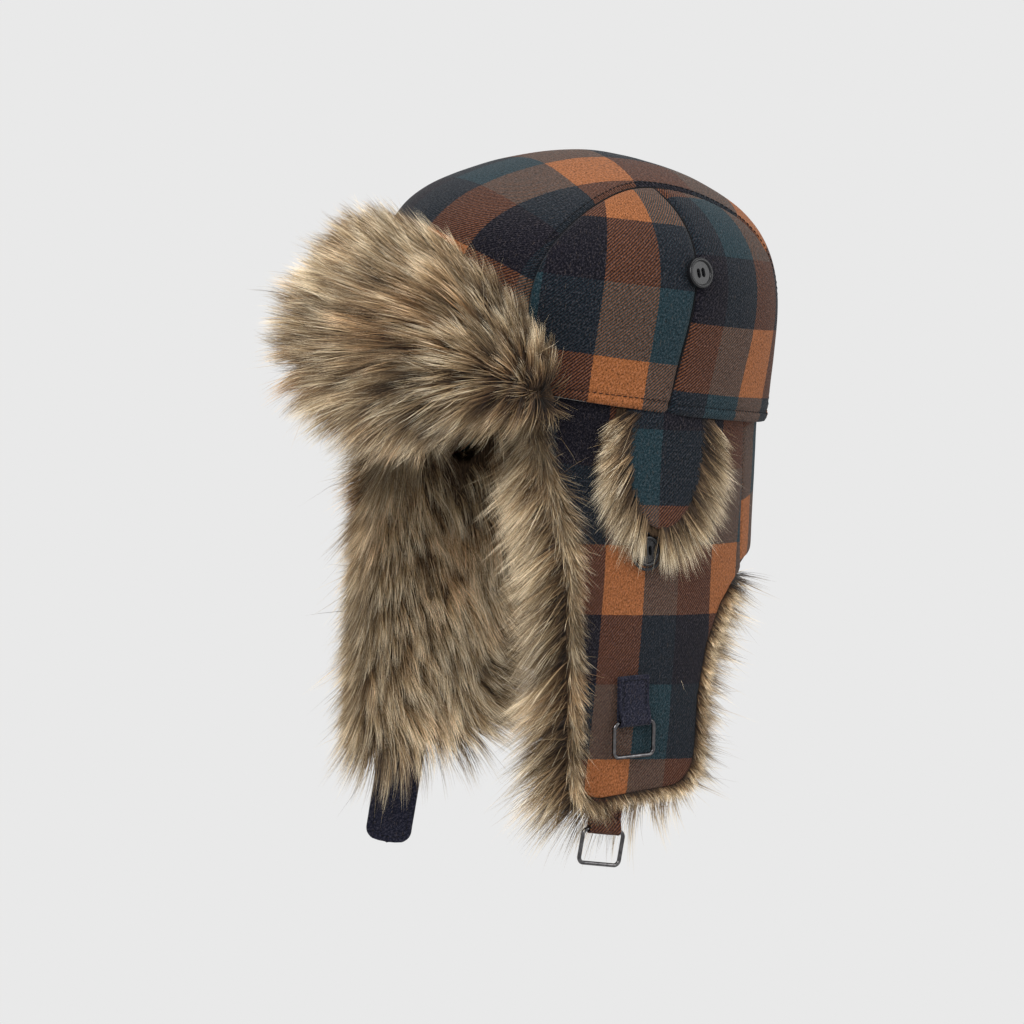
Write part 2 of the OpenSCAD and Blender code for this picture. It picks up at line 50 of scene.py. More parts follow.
# ---- Sizes repeated from the CAD source ----
CROWN_A, CROWN_B, CROWN_H, CROWN_N, CROWN_M, SWELL, RAKE = 90.0, 104.0, 126.0, 1.8, 3.4, 0.18, 0.05
SEAM_X, SPREAD, TILT = 43.0, 0.46, math.radians(12.4)
SLOPE = math.tan(TILT)
WOOL, WAD, LINING, GAP, HEM_GAP, INSET = 1.8, 4.0, 1.2, 0.3, 0.6, 5.0
WAD_IN = WOOL + GAP
LINING_IN = WAD_IN + WAD + GAP
CORNER_PH = math.radians(9)
CORNER_A = CROWN_A * math.cos(CORNER_PH) ** (2 / CROWN_N)
SEAM_END = math.acos((math.sqrt(CORNER_A ** 2 + 4 * SEAM_X ** 2 * SPREAD * (1 + SPREAD)) - CORNER_A)
                     / (2 * SEAM_X * SPREAD))
WALL_ROWS, SHOULDER_ROWS = 4, 14
ROWS = 2 * WALL_ROWS + SHOULDER_ROWS
SEAM_LOW, SEAM_HIGH = math.radians(-8.5), math.radians(7.5)
FRONT_H, FRONT_FUR, FRONT_DROOP = 74.0, 60.0, 26.0
FRONT_GAP, FRONT_LEAN, FRONT_HALF, FRONT_END = 1.2, 0.12, math.radians(44), 14.0
EAR_DROP, EAR_FUR, HOLE_R = 194.0, 24.0, 17.0
CURVE_FRONT, CURVE_REAR, EAR_MID, EAR_FLARE, EAR_CORNER = 0.0012, 0.0035, -20.0, 8.0, 17.0
SPLIT_Y, SPLIT_GAP = 52.0, 1.6
EAR_REAR = np.array([[0, SPLIT_Y], [92, SPLIT_Y], [97, 41], [105, 29], [124, 14], [150, 5], [181, 1]], float)
EAR_FRONT = np.array([[-18, -77], [10, -76], [60, -76], [200, -79]], float)
SLOPE_FRONT, SLOPE_REAR = 0.12, 0.45
NECK_DROP, NECK_TAPER, NECK_LEN = 90.0, 0.035, 75.0
NECK_HALF = math.radians(54)
COVER_S, COVER_W, COVER_L, COVER_TOP, COVER_TIP, COVER_ROUND = -10.5, 27.0, 60.0, 4.0, 6.5, 2.6
BUTTON_S, REACH, BUTTON_CLEAR = -15.5, 73.0, 7.2
TAB_W, TAB_SKIN, TAB_FACE, BORE = 19.0, 1.2, 2.75, 1.18
UPPER_TAB, UPPER_TAB_L, END_TAB_Y, END_TAB_L = (-42.0, -132.0), 24.0, -58.0, 15.5
STRAP_W, STRAP_T, STRAP_L, STRAP_ROOT, STRAP_Y, STRAP_CORNER = 23.0, 2.6, 25.0, 32.0, -43.0, 7.0
STRAP_TURN, STRAP_SEAM, SEAM_SHADE_THREAD_R = math.radians(35), 2.4, 0.45
DOWN = np.array([0.0, 0.0, -1.0])


# ---- Small maths ----
def mix(a, b, t):
    return a + (b - a) * t


def smooth(t):
    t = np.clip(t, 0, 1)
    return t * t * (3 - 2 * t)


def unit(v):
    v = np.asarray(v, float)
    return v / np.maximum(np.linalg.norm(v, axis=-1, keepdims=True), 1e-9)


def stack(x, y, z):
    return np.stack(np.broadcast_arrays(x, y, z), axis=-1).astype(float)


def hem_z(y):
    return -SLOPE * y


def hem_point(s, p):
    return s * math.cos(TILT) + p * math.sin(TILT), -s * math.sin(TILT) + p * math.cos(TILT)


LATTICE = np.random.default_rng(11).random((32, 32, 32))


def noise(points, scale):
    """Smooth noise from -1 to 1 over points in mm, with features about scale wide."""
    q = np.asarray(points, float) / scale + 100.0
    base = np.floor(q).astype(int)
    f = q - base
    f = f * f * (3 - 2 * f)
    total = 0.0
    for dx in (0, 1):
        for dy in (0, 1):
            for dz in (0, 1):
                corner = LATTICE[(base[..., 0] + dx) % 32, (base[..., 1] + dy) % 32, (base[..., 2] + dz) % 32]
                weight = (f[..., 0] if dx else 1 - f[..., 0]) * (f[..., 1] if dy else 1 - f[..., 1])
                total = total + corner * weight * (f[..., 2] if dz else 1 - f[..., 2])
    return 2 * total - 1


# ---- Surfaces of the hat ----
def crown_point(th, ph, off=0.0):
    rho = np.clip(np.cos(ph), 0, 1) ** (2 / CROWN_N) * (1 + SWELL * np.sin(2 * ph))
    rise = np.clip(np.sin(ph), 0, 1) ** (2 / CROWN_M)
    y = (CROWN_B + off) * rho * np.sin(th)
    z = hem_z((CROWN_B + off) * np.sin(th)) * (1 - rise) + (CROWN_H + off - RAKE * y) * rise
    return stack((CROWN_A + off) * rho * np.cos(th), y, z)


def shoulder_ph(th):
    share = SEAM_X * (1 + SPREAD * np.sin(th) ** 2) / (CROWN_A * np.cos(th))
    return np.arccos(np.minimum(1, share ** (CROWN_N / 2)))


def side_th(w, t):
    seam = mix(SEAM_LOW, SEAM_HIGH, t)
    front = mix(-SEAM_END, seam, 1 - np.cos(np.pi / 2 * np.minimum(w, 1)))
    rear = mix(seam, SEAM_END, np.sin(np.pi / 2 * np.maximum(w - 1, 0)))
    return np.where(w <= 1, front, rear)


def side_grid(off, first, last, rows, cols, gap=(0.0, 0.0)):
    """Points of one side panel from column first to last (0, 1 or 2), rows going up from the hem."""
    t = np.linspace(0, 1, rows)[:, None]
    w = np.linspace(first, last, cols)[None, :]
    th = side_th(w, t) + mix(gap[0], gap[1], (w - first) / (last - first))
    return crown_point(th, shoulder_ph(th) * t ** (CROWN_M / 2), off)


def centre_grid(off, rows, cols):
    """Points of the centre panel, rows going from the front hem to the rear hem."""
    k = np.linspace(0, ROWS, rows)
    th = side_th(np.clip(2 * (k - WALL_ROWS) / SHOULDER_ROWS, 0, 2), np.ones_like(k))
    wall = np.minimum(np.minimum(k, ROWS - k) / WALL_ROWS, 1)
    ph = np.where(wall < 1, CORNER_PH * wall ** (CROWN_M / 2), shoulder_ph(th))
    tau = np.linspace(-1, 1, cols)[None, :]
    th, ph = th[:, None], ph[:, None]
    d = unit(stack(tau * np.cos(ph) * np.cos(th), np.cos(ph) * np.sin(th), np.sin(ph)))
    return crown_point(np.arctan2(d[..., 1], d[..., 0]), np.arcsin(np.clip(d[..., 2], -1, 1)), off)


def ear_skin(y, z):
    a, b = CROWN_A - INSET, CROWN_B - INSET
    at_hem = a * np.sqrt(np.clip(1 - (y / b) ** 2, 0, 1))
    low = a - np.where(y < EAR_MID, CURVE_FRONT, CURVE_REAR) * (y - EAR_MID) ** 2
    depth = hem_z(y) - z
    return mix(at_hem, low, smooth(depth / NECK_DROP)) + EAR_FLARE * smooth(depth / EAR_DROP)


def ear_edges(z):
    return np.interp(-z, EAR_FRONT[:, 0], EAR_FRONT[:, 1]), np.interp(-z, EAR_REAR[:, 0], EAR_REAR[:, 1])


def ear_x(y, z):
    front, rear = ear_edges(z)
    inside = ear_skin(np.clip(y, front, rear), z)
    return inside - SLOPE_FRONT * np.maximum(front - y, 0) - SLOPE_REAR * np.maximum(y - rear, 0)


def ear_at(y, z, off=0.0):
    return stack(ear_x(y, z) + off, y, z)


def ear_normal(y, z):
    return unit(np.cross(ear_at(y + 1, z) - ear_at(y - 1, z), ear_at(y, z + 1) - ear_at(y, z - 1)))


def ear_grid(off, rows, cols, front_by=0.0, rear_by=0.0, low_by=0.0, up=0.0):
    """Points of the left ear flap, its outline grown by margins; up goes on above the hem."""
    floor_z, corner = -EAR_DROP - low_by, EAR_CORNER + low_by
    v = np.sin(np.pi / 2 * np.linspace(0, 1, rows))[:, None]
    u = np.linspace(0, 1, cols)[None, :]

    def edge(front):
        top = hem_z(EAR_FRONT[0, 1] if front else SPLIT_Y) - HEM_GAP + up
        z = mix(top, floor_z, v)
        h = np.clip(z - floor_z, 0, corner)
        inset = corner - np.sqrt(np.clip(corner ** 2 - (corner - h) ** 2, 0, None))
        if front:
            by = front_by * smooth((8 - z) / 44)
            return ear_edges(z)[0] - by + inset, z
        by = rear_by * smooth((-z - 95) / 14)
        return ear_edges(z)[1] + by - inset, z

    fy, fz = edge(True)
    ry, rz = edge(False)
    y, z = mix(fy, ry, u), mix(fz, rz, u)
    return ear_at(y, z, off)


def neck_grid(off, rows, cols, drop_to, up=0.0):
    u = np.linspace(-1, 1, cols)[None, :]
    v = np.linspace(0, 1, rows)[:, None]
    depth = mix(HEM_GAP - up, drop_to + hem_z(CROWN_B * np.cos(NECK_HALF * u)), v)
    shrink = 1 - NECK_TAPER * np.maximum(depth, 0) / NECK_LEN
    end = np.arcsin((SPLIT_Y + 0.4) / ((CROWN_B - INSET) * shrink + off))
    th = np.pi / 2 + (np.pi / 2 - end) * u
    y = ((CROWN_B - INSET) * shrink + off) * np.sin(th)
    return stack(((CROWN_A - INSET) * shrink + off) * np.cos(th), y, hem_z(y) - depth)


def front_point(th, q, off=0.0):
    e = FRONT_GAP + FRONT_LEAN * np.maximum(0, q) + off
    return stack((CROWN_A + e) * np.cos(th), (CROWN_B + e) * np.sin(th), hem_z(CROWN_B * np.sin(th)) + q)


def front_top(u):
    return mix(FRONT_H, FRONT_END, np.abs(u) ** 2.2)


def front_grid(off, rows, cols, low, high):
    """low and high give q over u; off gives the offset over u and v, or is a number."""
    u = np.linspace(-1, 1, cols)[None, :]
    v = np.linspace(0, 1, rows)[:, None]
    q = mix(low(u), high(u), v)
    return front_point(-np.pi / 2 + FRONT_HALF * u, q, off(u, v, q) if callable(off) else off)


def cover_half(p, w, l):
    return w * np.sqrt(np.clip(1 - (p / l) ** COVER_ROUND, 0, 1))


def cover_off(p):
    return mix(COVER_TOP, COVER_TIP, p / COVER_L)


def cover_grid(off, rows, cols, w, l, blunt, start=1.0):
    p = mix(start, l, np.sin(np.pi / 2 * np.linspace(0, 1, rows)))[:, None]
    half = np.maximum(blunt, cover_half(np.maximum(p, 0), w, l))
    y, z = hem_point(COVER_S + half * np.linspace(-1, 1, cols)[None, :], -p)
    return ear_at(y, z, off(p) if callable(off) else off)


# ---- Grids to meshes ----
def grid_normals(g):
    """Unit normals of a grid, on the side of (down the rows) x (along the columns)."""
    return unit(np.cross(np.gradient(g, axis=0), np.gradient(g, axis=1)))


def outward(g, centre):
    n = grid_normals(g)
    return n if np.sum(n * (g - np.asarray(centre, float))) > 0 else -n


def along(g, axis):
    """Distance along the grid from its first row (axis 0) or column (axis 1)."""
    steps = np.linalg.norm(np.diff(g, axis=axis), axis=-1)
    pad = [(1, 0), (0, 0)] if axis == 0 else [(0, 0), (1, 0)]
    return np.cumsum(np.pad(steps, pad), axis=axis)


def distances(line):
    """Distance along a polyline to each of its points."""
    return np.concatenate([[0], np.cumsum(np.linalg.norm(np.diff(line, axis=0), axis=1))])


def flat_on(d, n):
    """Directions d laid flat on a surface with normals n."""
    return unit(d - n * np.sum(d * n, axis=1, keepdims=True))


def edge_distances(g):
    """Distance to the first row, last row, first column and last column."""
    a, b = along(g, 0), along(g, 1)
    return a, a[-1:] - a, b, b[:, -1:] - b


def new_object(name, points, faces, uvs=None):
    """points in mm, faces a list of (n, 3) or (n, 4) index arrays, uvs one (points, 2) array per name."""
    mesh = bpy.data.meshes.new(name)
    points = np.asarray(points, float).reshape(-1, 3)
    counts = np.concatenate([np.full(len(f), f.shape[1]) for f in faces])
    loops = np.concatenate([f.reshape(-1) for f in faces]).astype(np.int32)
    mesh.vertices.add(len(points))
    mesh.vertices.foreach_set("co", (points * MM).astype(np.float32).reshape(-1))
    mesh.loops.add(len(loops))
    mesh.loops.foreach_set("vertex_index", loops)
    mesh.polygons.add(len(counts))
    mesh.polygons.foreach_set("loop_start", (np.cumsum(counts) - counts).astype(np.int32))
    mesh.polygons.foreach_set("use_smooth", np.full(len(counts), True))
    for layer, uv in (uvs or {}).items():
        data = mesh.uv_layers.new(name=layer).data
        data.foreach_set("uv", np.asarray(uv, np.float32)[loops].reshape(-1))
    mesh.update(calc_edges=True)
    mesh.validate()
    obj = bpy.data.objects.new(name, mesh)
    bpy.context.scene.collection.objects.link(obj)
    return obj


def volume(points, quads):
    p = points
    a, b, c, d = (p[quads[:, i]] for i in range(4))
    return float(np.sum(np.cross(a, b) * c) + np.sum(np.cross(a, c) * d))


def shell(outer, inner, uv=None, rim=3):
    """A closed skin between two grids, with a rounded rim. Returns points, quads and UVs."""
    rows, cols = outer.shape[:2]
    idx = np.arange(rows * cols).reshape(rows, cols)
    loop = np.concatenate([idx[0, :-1], idx[:-1, -1], idx[-1, :0:-1], idx[:0:-1, 0]])
    inward = np.concatenate([idx[1, :-1], idx[:-1, -2], idx[-2, :0:-1], idx[:0:-1, 1]])
    po, pi = outer.reshape(-1, 3), inner.reshape(-1, 3)
    n = rows * cols
    uv = np.zeros((rows, cols, 2)) if uv is None else uv
    uvf = uv.reshape(-1, 2)
    mid, half = (po[loop] + pi[loop]) / 2, (po[loop] - pi[loop]) / 2
    out = unit(po[loop] - po[inward])
    out = flat_on(out, unit(half))
    size = np.linalg.norm(half, axis=1, keepdims=True)
    rims = []
    for k in range(1, rim + 1):
        a = np.pi * k / (rim + 1)
        rims.append(mid + half * np.cos(a) + out * size * np.sin(a) * 0.7)
    points = np.concatenate([po, pi] + rims)
    uvs = np.concatenate([uvf, uvf] + [uvf[loop]] * rim)
    a, b, c, d = idx[:-1, :-1], idx[:-1, 1:], idx[1:, 1:], idx[1:, :-1]
    top = np.stack([a, b, c, d], -1).reshape(-1, 4)
    quads = [top, top[:, ::-1] + n]
    rings = [loop] + [2 * n + k * len(loop) + np.arange(len(loop)) for k in range(rim)] + [loop + n]
    for r0, r1 in zip(rings, rings[1:]):
        quads.append(np.stack([r0, r1, np.roll(r1, -1), np.roll(r0, -1)], -1))
    quads = np.concatenate(quads)
    if volume(points, quads) < 0:
        quads = quads[:, ::-1]
    return points, quads, uvs


def merged(parts):
    """Several (points, quads, uvs) as one."""
    points, quads, uvs, at = [], [], [], 0
    for p, q, u in parts:
        points.append(p)
        quads.append(q + at)
        uvs.append(u)
        at += len(p)
    return np.concatenate(points), np.concatenate(quads), np.concatenate(uvs)


def sided(part, side):
    """A (points, quads, uvs) for the wearer's left (1) or right (-1)."""
    if side > 0:
        return part
    return part[0] * [-1, 1, 1], part[1][:, ::-1], part[2]


def mesh_piece(name, part, material, nodes=(), body=None):
    """A piece from (points, quads, uvs). nodes are what it replaces and body is what it rides on."""
    obj = new_object(name, part[0], [part[1]], {"cloth": part[2]})
    obj.data.materials.append(material)
    if nodes:
        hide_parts(*nodes)
    if body:
        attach(obj, body)
    return obj


def cloth_area(grid):
    a = grid[:-1, :-1]
    return float(np.linalg.norm(np.cross(grid[1:, :-1] - a, grid[:-1, 1:] - a), axis=-1).sum())


# ---- Materials ----
def linear(*rgb):
    """A linear colour with alpha from sRGB values of 0 to 255."""
    return tuple(((c / 255 + 0.055) / 1.055) ** 2.4 if c > 10 else c / 255 / 12.92 for c in rgb) + (1.0,)


class Nodes:
    """A short way to write a material's nodes."""

    def __init__(self, name):
        self.material = bpy.data.materials.new(name)
        self.material.use_nodes = True
        self.tree = self.material.node_tree
        self.shader = self.tree.nodes["Principled BSDF"]

    def node(self, kind, inputs=(), **props):
        n = self.tree.nodes.new(kind)
        for key, value in props.items():
            setattr(n, key, value)
        for key, value in dict(inputs).items():
            self.put(n.inputs[key], value)
        return n

    def put(self, socket, value):
        if isinstance(value, bpy.types.NodeSocket):
            self.tree.links.new(value, socket)
        else:
            socket.default_value = value

    def maths(self, op, a, b=None, c=None):
        values = {i: v for i, v in enumerate((a, b, c)) if v is not None}
        return self.node("ShaderNodeMath", values, operation=op).outputs[0]

    def ramp(self, fac, stops, constant=False):
        n = self.node("ShaderNodeValToRGB", {0: fac})
        if constant:
            n.color_ramp.interpolation = "CONSTANT"
        el = n.color_ramp.elements
        while len(el) < len(stops):
            el.new(0.5)
        for e, (at, colour) in zip(el, stops):
            e.position = at
            e.color = colour
        return n.outputs[0]

    def colours(self, fac, *stops):
        """A ramp through (place, red, green, blue) stops in sRGB."""
        return self.ramp(fac, [(at, linear(*rgb)) for at, *rgb in stops])

    def blend(self, kind, fac, a, b):
        n = self.node("ShaderNodeMix", data_type="RGBA", blend_type=kind)
        self.put(n.inputs[0], fac)
        self.put(n.inputs[6], a)
        self.put(n.inputs[7], b)
        return n.outputs[2]

    def noise(self, vector, scale, detail=2.0, rough=0.5):
        inputs = {"Vector": vector, "Scale": scale, "Detail": detail, "Roughness": rough}
        return self.node("ShaderNodeTexNoise", inputs).outputs[0]

    def wave(self, vector, scale, distortion):
        inputs = {"Vector": vector, "Scale": scale, "Distortion": distortion}
        how = {"wave_type": "BANDS", "bands_direction": "DIAGONAL"}
        return self.node("ShaderNodeTexWave", inputs, **how).outputs["Fac"]

    def uv(self, layer="cloth"):
        n = self.node("ShaderNodeUVMap", uv_map=layer)
        return self.node("ShaderNodeSeparateXYZ", {0: n.outputs[0]})

    def position(self):
        return self.node("ShaderNodeTexCoord").outputs["Object"]

    def stretched(self, vector, angle, squeeze):
        """vector turned by angle and squeezed across, so a noise on it becomes short fibres."""
        inputs = {"Vector": vector, "Rotation": angle, "Scale": squeeze}
        return self.node("ShaderNodeMapping", inputs).outputs[0]

    def bump(self, height, distance, strength=1.0):
        inputs = {"Height": height, "Distance": distance, "Strength": strength}
        self.put(self.shader.inputs["Normal"], self.node("ShaderNodeBump", inputs).outputs[0])

    def set(self, **values):
        for key, value in values.items():
            self.put(self.shader.inputs[key.replace("_", " ")], value)
        return self.material


ORANGE, TEAL, NAVY = linear(141, 85, 47), linear(23, 45, 52), linear(11, 11, 21)
BAND_U, BAND_V = (31.0, 59.0, 91.0), (36.0, 75.0, 111.5)
TWILL_PITCH = 2.0


def wool_material(name, plain=None):
    """Brushed wool twill. The plaid is bands along u and v, in mm, and the yarn on top at each point."""
    m = Nodes(name)
    uv = m.uv()
    u, v = uv.outputs[0], uv.outputs[1]
    cloth = m.node("ShaderNodeCombineXYZ", {0: u, 1: v, 2: 0.0}).outputs[0]
    wobble = m.maths("MULTIPLY_ADD", m.noise(cloth, 0.35, 3.0), 1.2, -0.6)
    fuzz = m.maths("MULTIPLY_ADD", m.noise(cloth, 2.4, 4.0, 0.7), 0.9, -0.45)
    ragged = m.maths("ADD", wobble, fuzz)
    diagonal = m.maths("DIVIDE", m.maths("SUBTRACT", u, v), TWILL_PITCH)
    diagonal = m.maths("ADD", diagonal, m.maths("MULTIPLY", fuzz, 0.45))
    wave = m.maths("SINE", m.maths("MULTIPLY", diagonal, 2 * math.pi))
    on_top = m.node("ShaderNodeMapRange", {0: wave, 1: -0.8, 2: 0.8, 3: 0.05, 4: 0.95}).outputs[0]
    if plain is None:
        def bands(value, limits):
            share = m.maths("DIVIDE", m.maths("ADD", value, m.maths("MULTIPLY", ragged, 0.7)), limits[2])
            stops = [(0.0, ORANGE), (limits[0] / limits[2], TEAL), (limits[1] / limits[2], NAVY)]
            return m.ramp(m.maths("FRACT", share), stops, constant=True)

        across, down = bands(u, BAND_U), bands(v, BAND_V)
        colour = m.blend("MIX", on_top, across, down)
        # Where a bright yarn crosses a dark one the brushed nap hides most of it
        colour = m.blend("MIX", 0.52, colour, m.blend("DARKEN", 1.0, across, down))
    else:
        colour = plain
    # Brushed fibres lie over the weave in two directions and lighten or darken it
    fibres = []
    for angle in (0.7, -0.5):
        turned = m.stretched(cloth, (0, 0, angle), (1.6, 0.38, 1))
        fibres.append(m.noise(turned, 1.0, 3.0, 0.6))
    nap = m.maths("MULTIPLY", m.maths("ADD", fibres[0], fibres[1]), 0.5)
    speck = m.noise(cloth, 0.85, 4.0, 0.8)
    light = m.maths("ADD", m.maths("MULTIPLY_ADD", nap, 2.6, -0.33),
                    m.maths("MULTIPLY_ADD", speck, 4.2, -2.1))
    # The twill's diagonal ridges are painted into the colour as a faint shade, wave times 0.07, added to the
    # fibre grain.
    grain_and_twill_shade = m.maths("ADD", light, m.maths("MULTIPLY", wave, 0.07))
    patches = m.maths("MULTIPLY_ADD", m.noise(cloth, 0.03, 2.0), 0.3, 0.85)
    grain_and_twill_shade = m.maths("MAXIMUM", m.maths("MULTIPLY", grain_and_twill_shade, patches), 0.12)
    grey = m.node("ShaderNodeCombineXYZ", {0: grain_and_twill_shade, 1: grain_and_twill_shade, 2: grain_and_twill_shade}).outputs[0]
    colour = m.blend("MULTIPLY", 1.0, colour, grey)
    # Pale flecks show most on the dark yarns
    fleck = m.maths("MULTIPLY", m.maths("MAXIMUM", m.maths("SUBTRACT", speck, 0.5), 0.0), 1.3)
    colour = m.blend("MIX", fleck, colour, linear(122, 114, 116))
    stray = m.noise(m.stretched(cloth, (0, 0, 1.1), (3.0, 0.22, 1)), 1.0, 1.0)
    hairs = m.ramp(stray, [(0.0, (0, 0, 0, 1)), (0.66, (0, 0, 0, 1)), (0.76, (1, 1, 1, 1))])
    colour = m.blend("MIX", m.maths("MULTIPLY", hairs, 0.36), colour, linear(120, 104, 92))
    pile = m.maths("ADD", m.maths("MULTIPLY", nap, 1.2), m.maths("MULTIPLY", speck, 0.9))
    height = m.maths("ADD", m.maths("MULTIPLY", wave, 0.30), pile)
    m.bump(height, 0.00035, 0.9)
    return m.set(Base_Color=colour, Roughness=0.92, Sheen_Weight=0.07, Sheen_Roughness=0.45,
                 Specular_IOR_Level=0.10)


HUES = 8
ROOT, DEEP, MID, LIGHT, TIP = (42, 32, 24), (84, 65, 47), (142, 119, 90), (188, 168, 135), (238, 226, 203)


def fur_material(name):
    """Long pile: u holds a hue step and a brightness, v runs from root to tip."""
    m = Nodes(name)
    uv = m.uv("OFBake")
    step = m.maths("MULTIPLY", uv.outputs[0], HUES)
    hue = m.maths("DIVIDE", m.maths("FLOOR", step), HUES)
    tone = m.maths("FRACT", step)
    along_hair = m.maths("ADD", uv.outputs[1], m.maths("MULTIPLY_ADD", tone, 0.50, -0.22))
    stops = [(0.08, ROOT), (0.38, DEEP), (0.62, MID), (0.82, LIGHT), (0.97, TIP)]
    colour = m.ramp(along_hair, [(at, linear(*c)) for at, c in stops])
    warm = m.colours(hue, (0.0, 225, 222, 216), (0.45, 255, 250, 240), (1.0, 252, 216, 180))
    colour = m.blend("MULTIPLY", 1.0, colour, warm)
    value = m.maths("MULTIPLY_ADD", tone, 1.15, 0.40)
    grey = m.node("ShaderNodeCombineXYZ", {0: value, 1: value, 2: value}).outputs[0]
    colour = m.blend("MULTIPLY", 1.0, colour, grey)
    return m.set(Base_Color=colour, Roughness=0.55, Specular_IOR_Level=0.25, Sheen_Weight=0.05)


def underfur_material():
    """The dense short hair below the long pile, with the knit it grows from."""
    m = Nodes("underfur")
    at = m.position()
    streak = m.noise(m.stretched(at, (0.3, 0.2, 0.1), (1.0, 1.0, 0.2)), 900.0, 3.0, 0.6)
    colour = m.colours(streak, (0.3, 30, 23, 18), (0.55, 70, 55, 41), (0.8, 112, 92, 70))
    m.bump(m.maths("ADD", streak, m.noise(at, 260.0, 3.0)), 0.0015, 1.0)
    return m.set(Base_Color=colour, Roughness=0.95, Specular_IOR_Level=0.1)


def lining_material():
    m = Nodes("satin_lining")
    uv = m.uv()
    fine = m.maths("SINE", m.maths("MULTIPLY", uv.outputs[1], 9.0))
    at = m.position()
    colour = m.colours(m.noise(at, 60.0, 4.0), (0.3, 22, 23, 28), (0.7, 38, 40, 47))
    m.bump(m.maths("MULTIPLY_ADD", fine, 0.25, m.noise(at, 500.0, 2.0)), 0.0002, 0.6)
    return m.set(Base_Color=colour, Roughness=0.38, Sheen_Weight=0.2, Specular_IOR_Level=0.45)


def wadding_material():
    m = Nodes("wadding_fibre")
    at = m.position()
    web = m.noise(m.stretched(at, (0.4, 0.9, 0.2), (1.0, 0.25, 1.0)), 500.0, 5.0, 0.7)
    m.bump(web, 0.002, 1.0)
    return m.set(Base_Color=m.colours(web, (0.3, 190, 188, 182), (0.7, 240, 239, 235)), Roughness=0.95)


def thread_material():
    m = Nodes("twisted_thread")
    at = m.position()
    twist = m.wave(at, 700.0, 1.5)
    m.bump(twist, 0.0001, 0.8)
    colour = m.colours(twist, (0.1, 8, 8, 9), (0.9, 24, 24, 27))
    return m.set(Base_Color=colour, Roughness=0.8, Specular_IOR_Level=0.15)


def button_material():
    m = Nodes("button_gloss")
    at = m.position()
    cloud = m.noise(at, 220.0, 5.0, 0.6)
    scratch = m.noise(m.stretched(at, (0.5, 0.3, 0.8), (1.0, 14.0, 1.0)), 300.0, 2.0)
    rough = m.ramp(scratch, [(0.35, (0.20, 0.20, 0.20, 1)), (0.8, (0.34, 0.34, 0.34, 1))])
    m.bump(m.maths("ADD", scratch, cloud), 0.00003, 0.4)
    colour = m.colours(cloud, (0.3, 12, 12, 14), (0.8, 24, 24, 27))
    return m.set(Base_Color=colour, Roughness=rough, Specular_IOR_Level=0.28, Coat_Weight=0.12,
                 Coat_Roughness=0.1)


def metal_material():
    m = Nodes("dark_nickel")
    at = m.position()
    finish_and_reflection_mottle = m.noise(at, 350.0, 5.0, 0.65)
    drawn = m.noise(m.stretched(at, (0.0, 0.5, 0.3), (1.0, 1.0, 10.0)), 250.0, 2.0)
    # The dark, mottled base colour is partly the ring's gunmetal finish and partly painted dark reflections,
    # which the plain white world around it does not give.
    colour = m.colours(finish_and_reflection_mottle, (0.35, 66, 65, 67), (0.7, 112, 110, 110))
    rough = m.ramp(drawn, [(0.3, (0.12, 0.12, 0.12, 1)), (0.8, (0.27, 0.27, 0.27, 1))])
    m.bump(m.maths("ADD", drawn, finish_and_reflection_mottle), 0.00002, 0.5)
    return m.set(Base_Color=colour, Metallic=1.0, Roughness=rough)


def elastic_material():
    m = Nodes("covered_elastic")
    at = m.position()
    braid = m.wave(at, 420.0, 2.0)
    m.bump(braid, 0.0002, 0.8)
    return m.set(Base_Color=m.colours(braid, (0.1, 14, 14, 16), (0.9, 40, 40, 44)), Roughness=0.8)


def hook_material():
    m = Nodes("hook_tape")
    at = m.position()
    rows = m.node("ShaderNodeTexVoronoi", {"Vector": at, "Scale": 900.0}).outputs["Distance"]
    m.bump(rows, 0.0005, 1.0)
    return m.set(Base_Color=m.colours(rows, (0.0, 46, 46, 50), (0.6, 12, 12, 14)), Roughness=0.6)


PLAID = wool_material("plaid_wool")
NAVY_WOOL = wool_material("navy_wool", plain=linear(26, 28, 42))
FUR = fur_material("long_fur")
UNDERFUR = underfur_material()
LINING_CLOTH = lining_material()
WADDING = wadding_material()
THREAD = thread_material()
BUTTON = button_material()
METAL = metal_material()
ELASTIC = elastic_material()
HOOKS = hook_material()


# ---- Stitches ----
def resample(points, normals, spacing, start=0.0):
    """Evenly spaced points, tangents and normals along a polyline."""
    at = distances(points)
    s = np.arange(start, at[-1], spacing)
    pick = lambda a: np.stack([np.interp(s, at, a[:, i]) for i in range(3)], -1)
    p, n = pick(points), unit(pick(normals))
    return p, unit(np.gradient(p, axis=0)), n


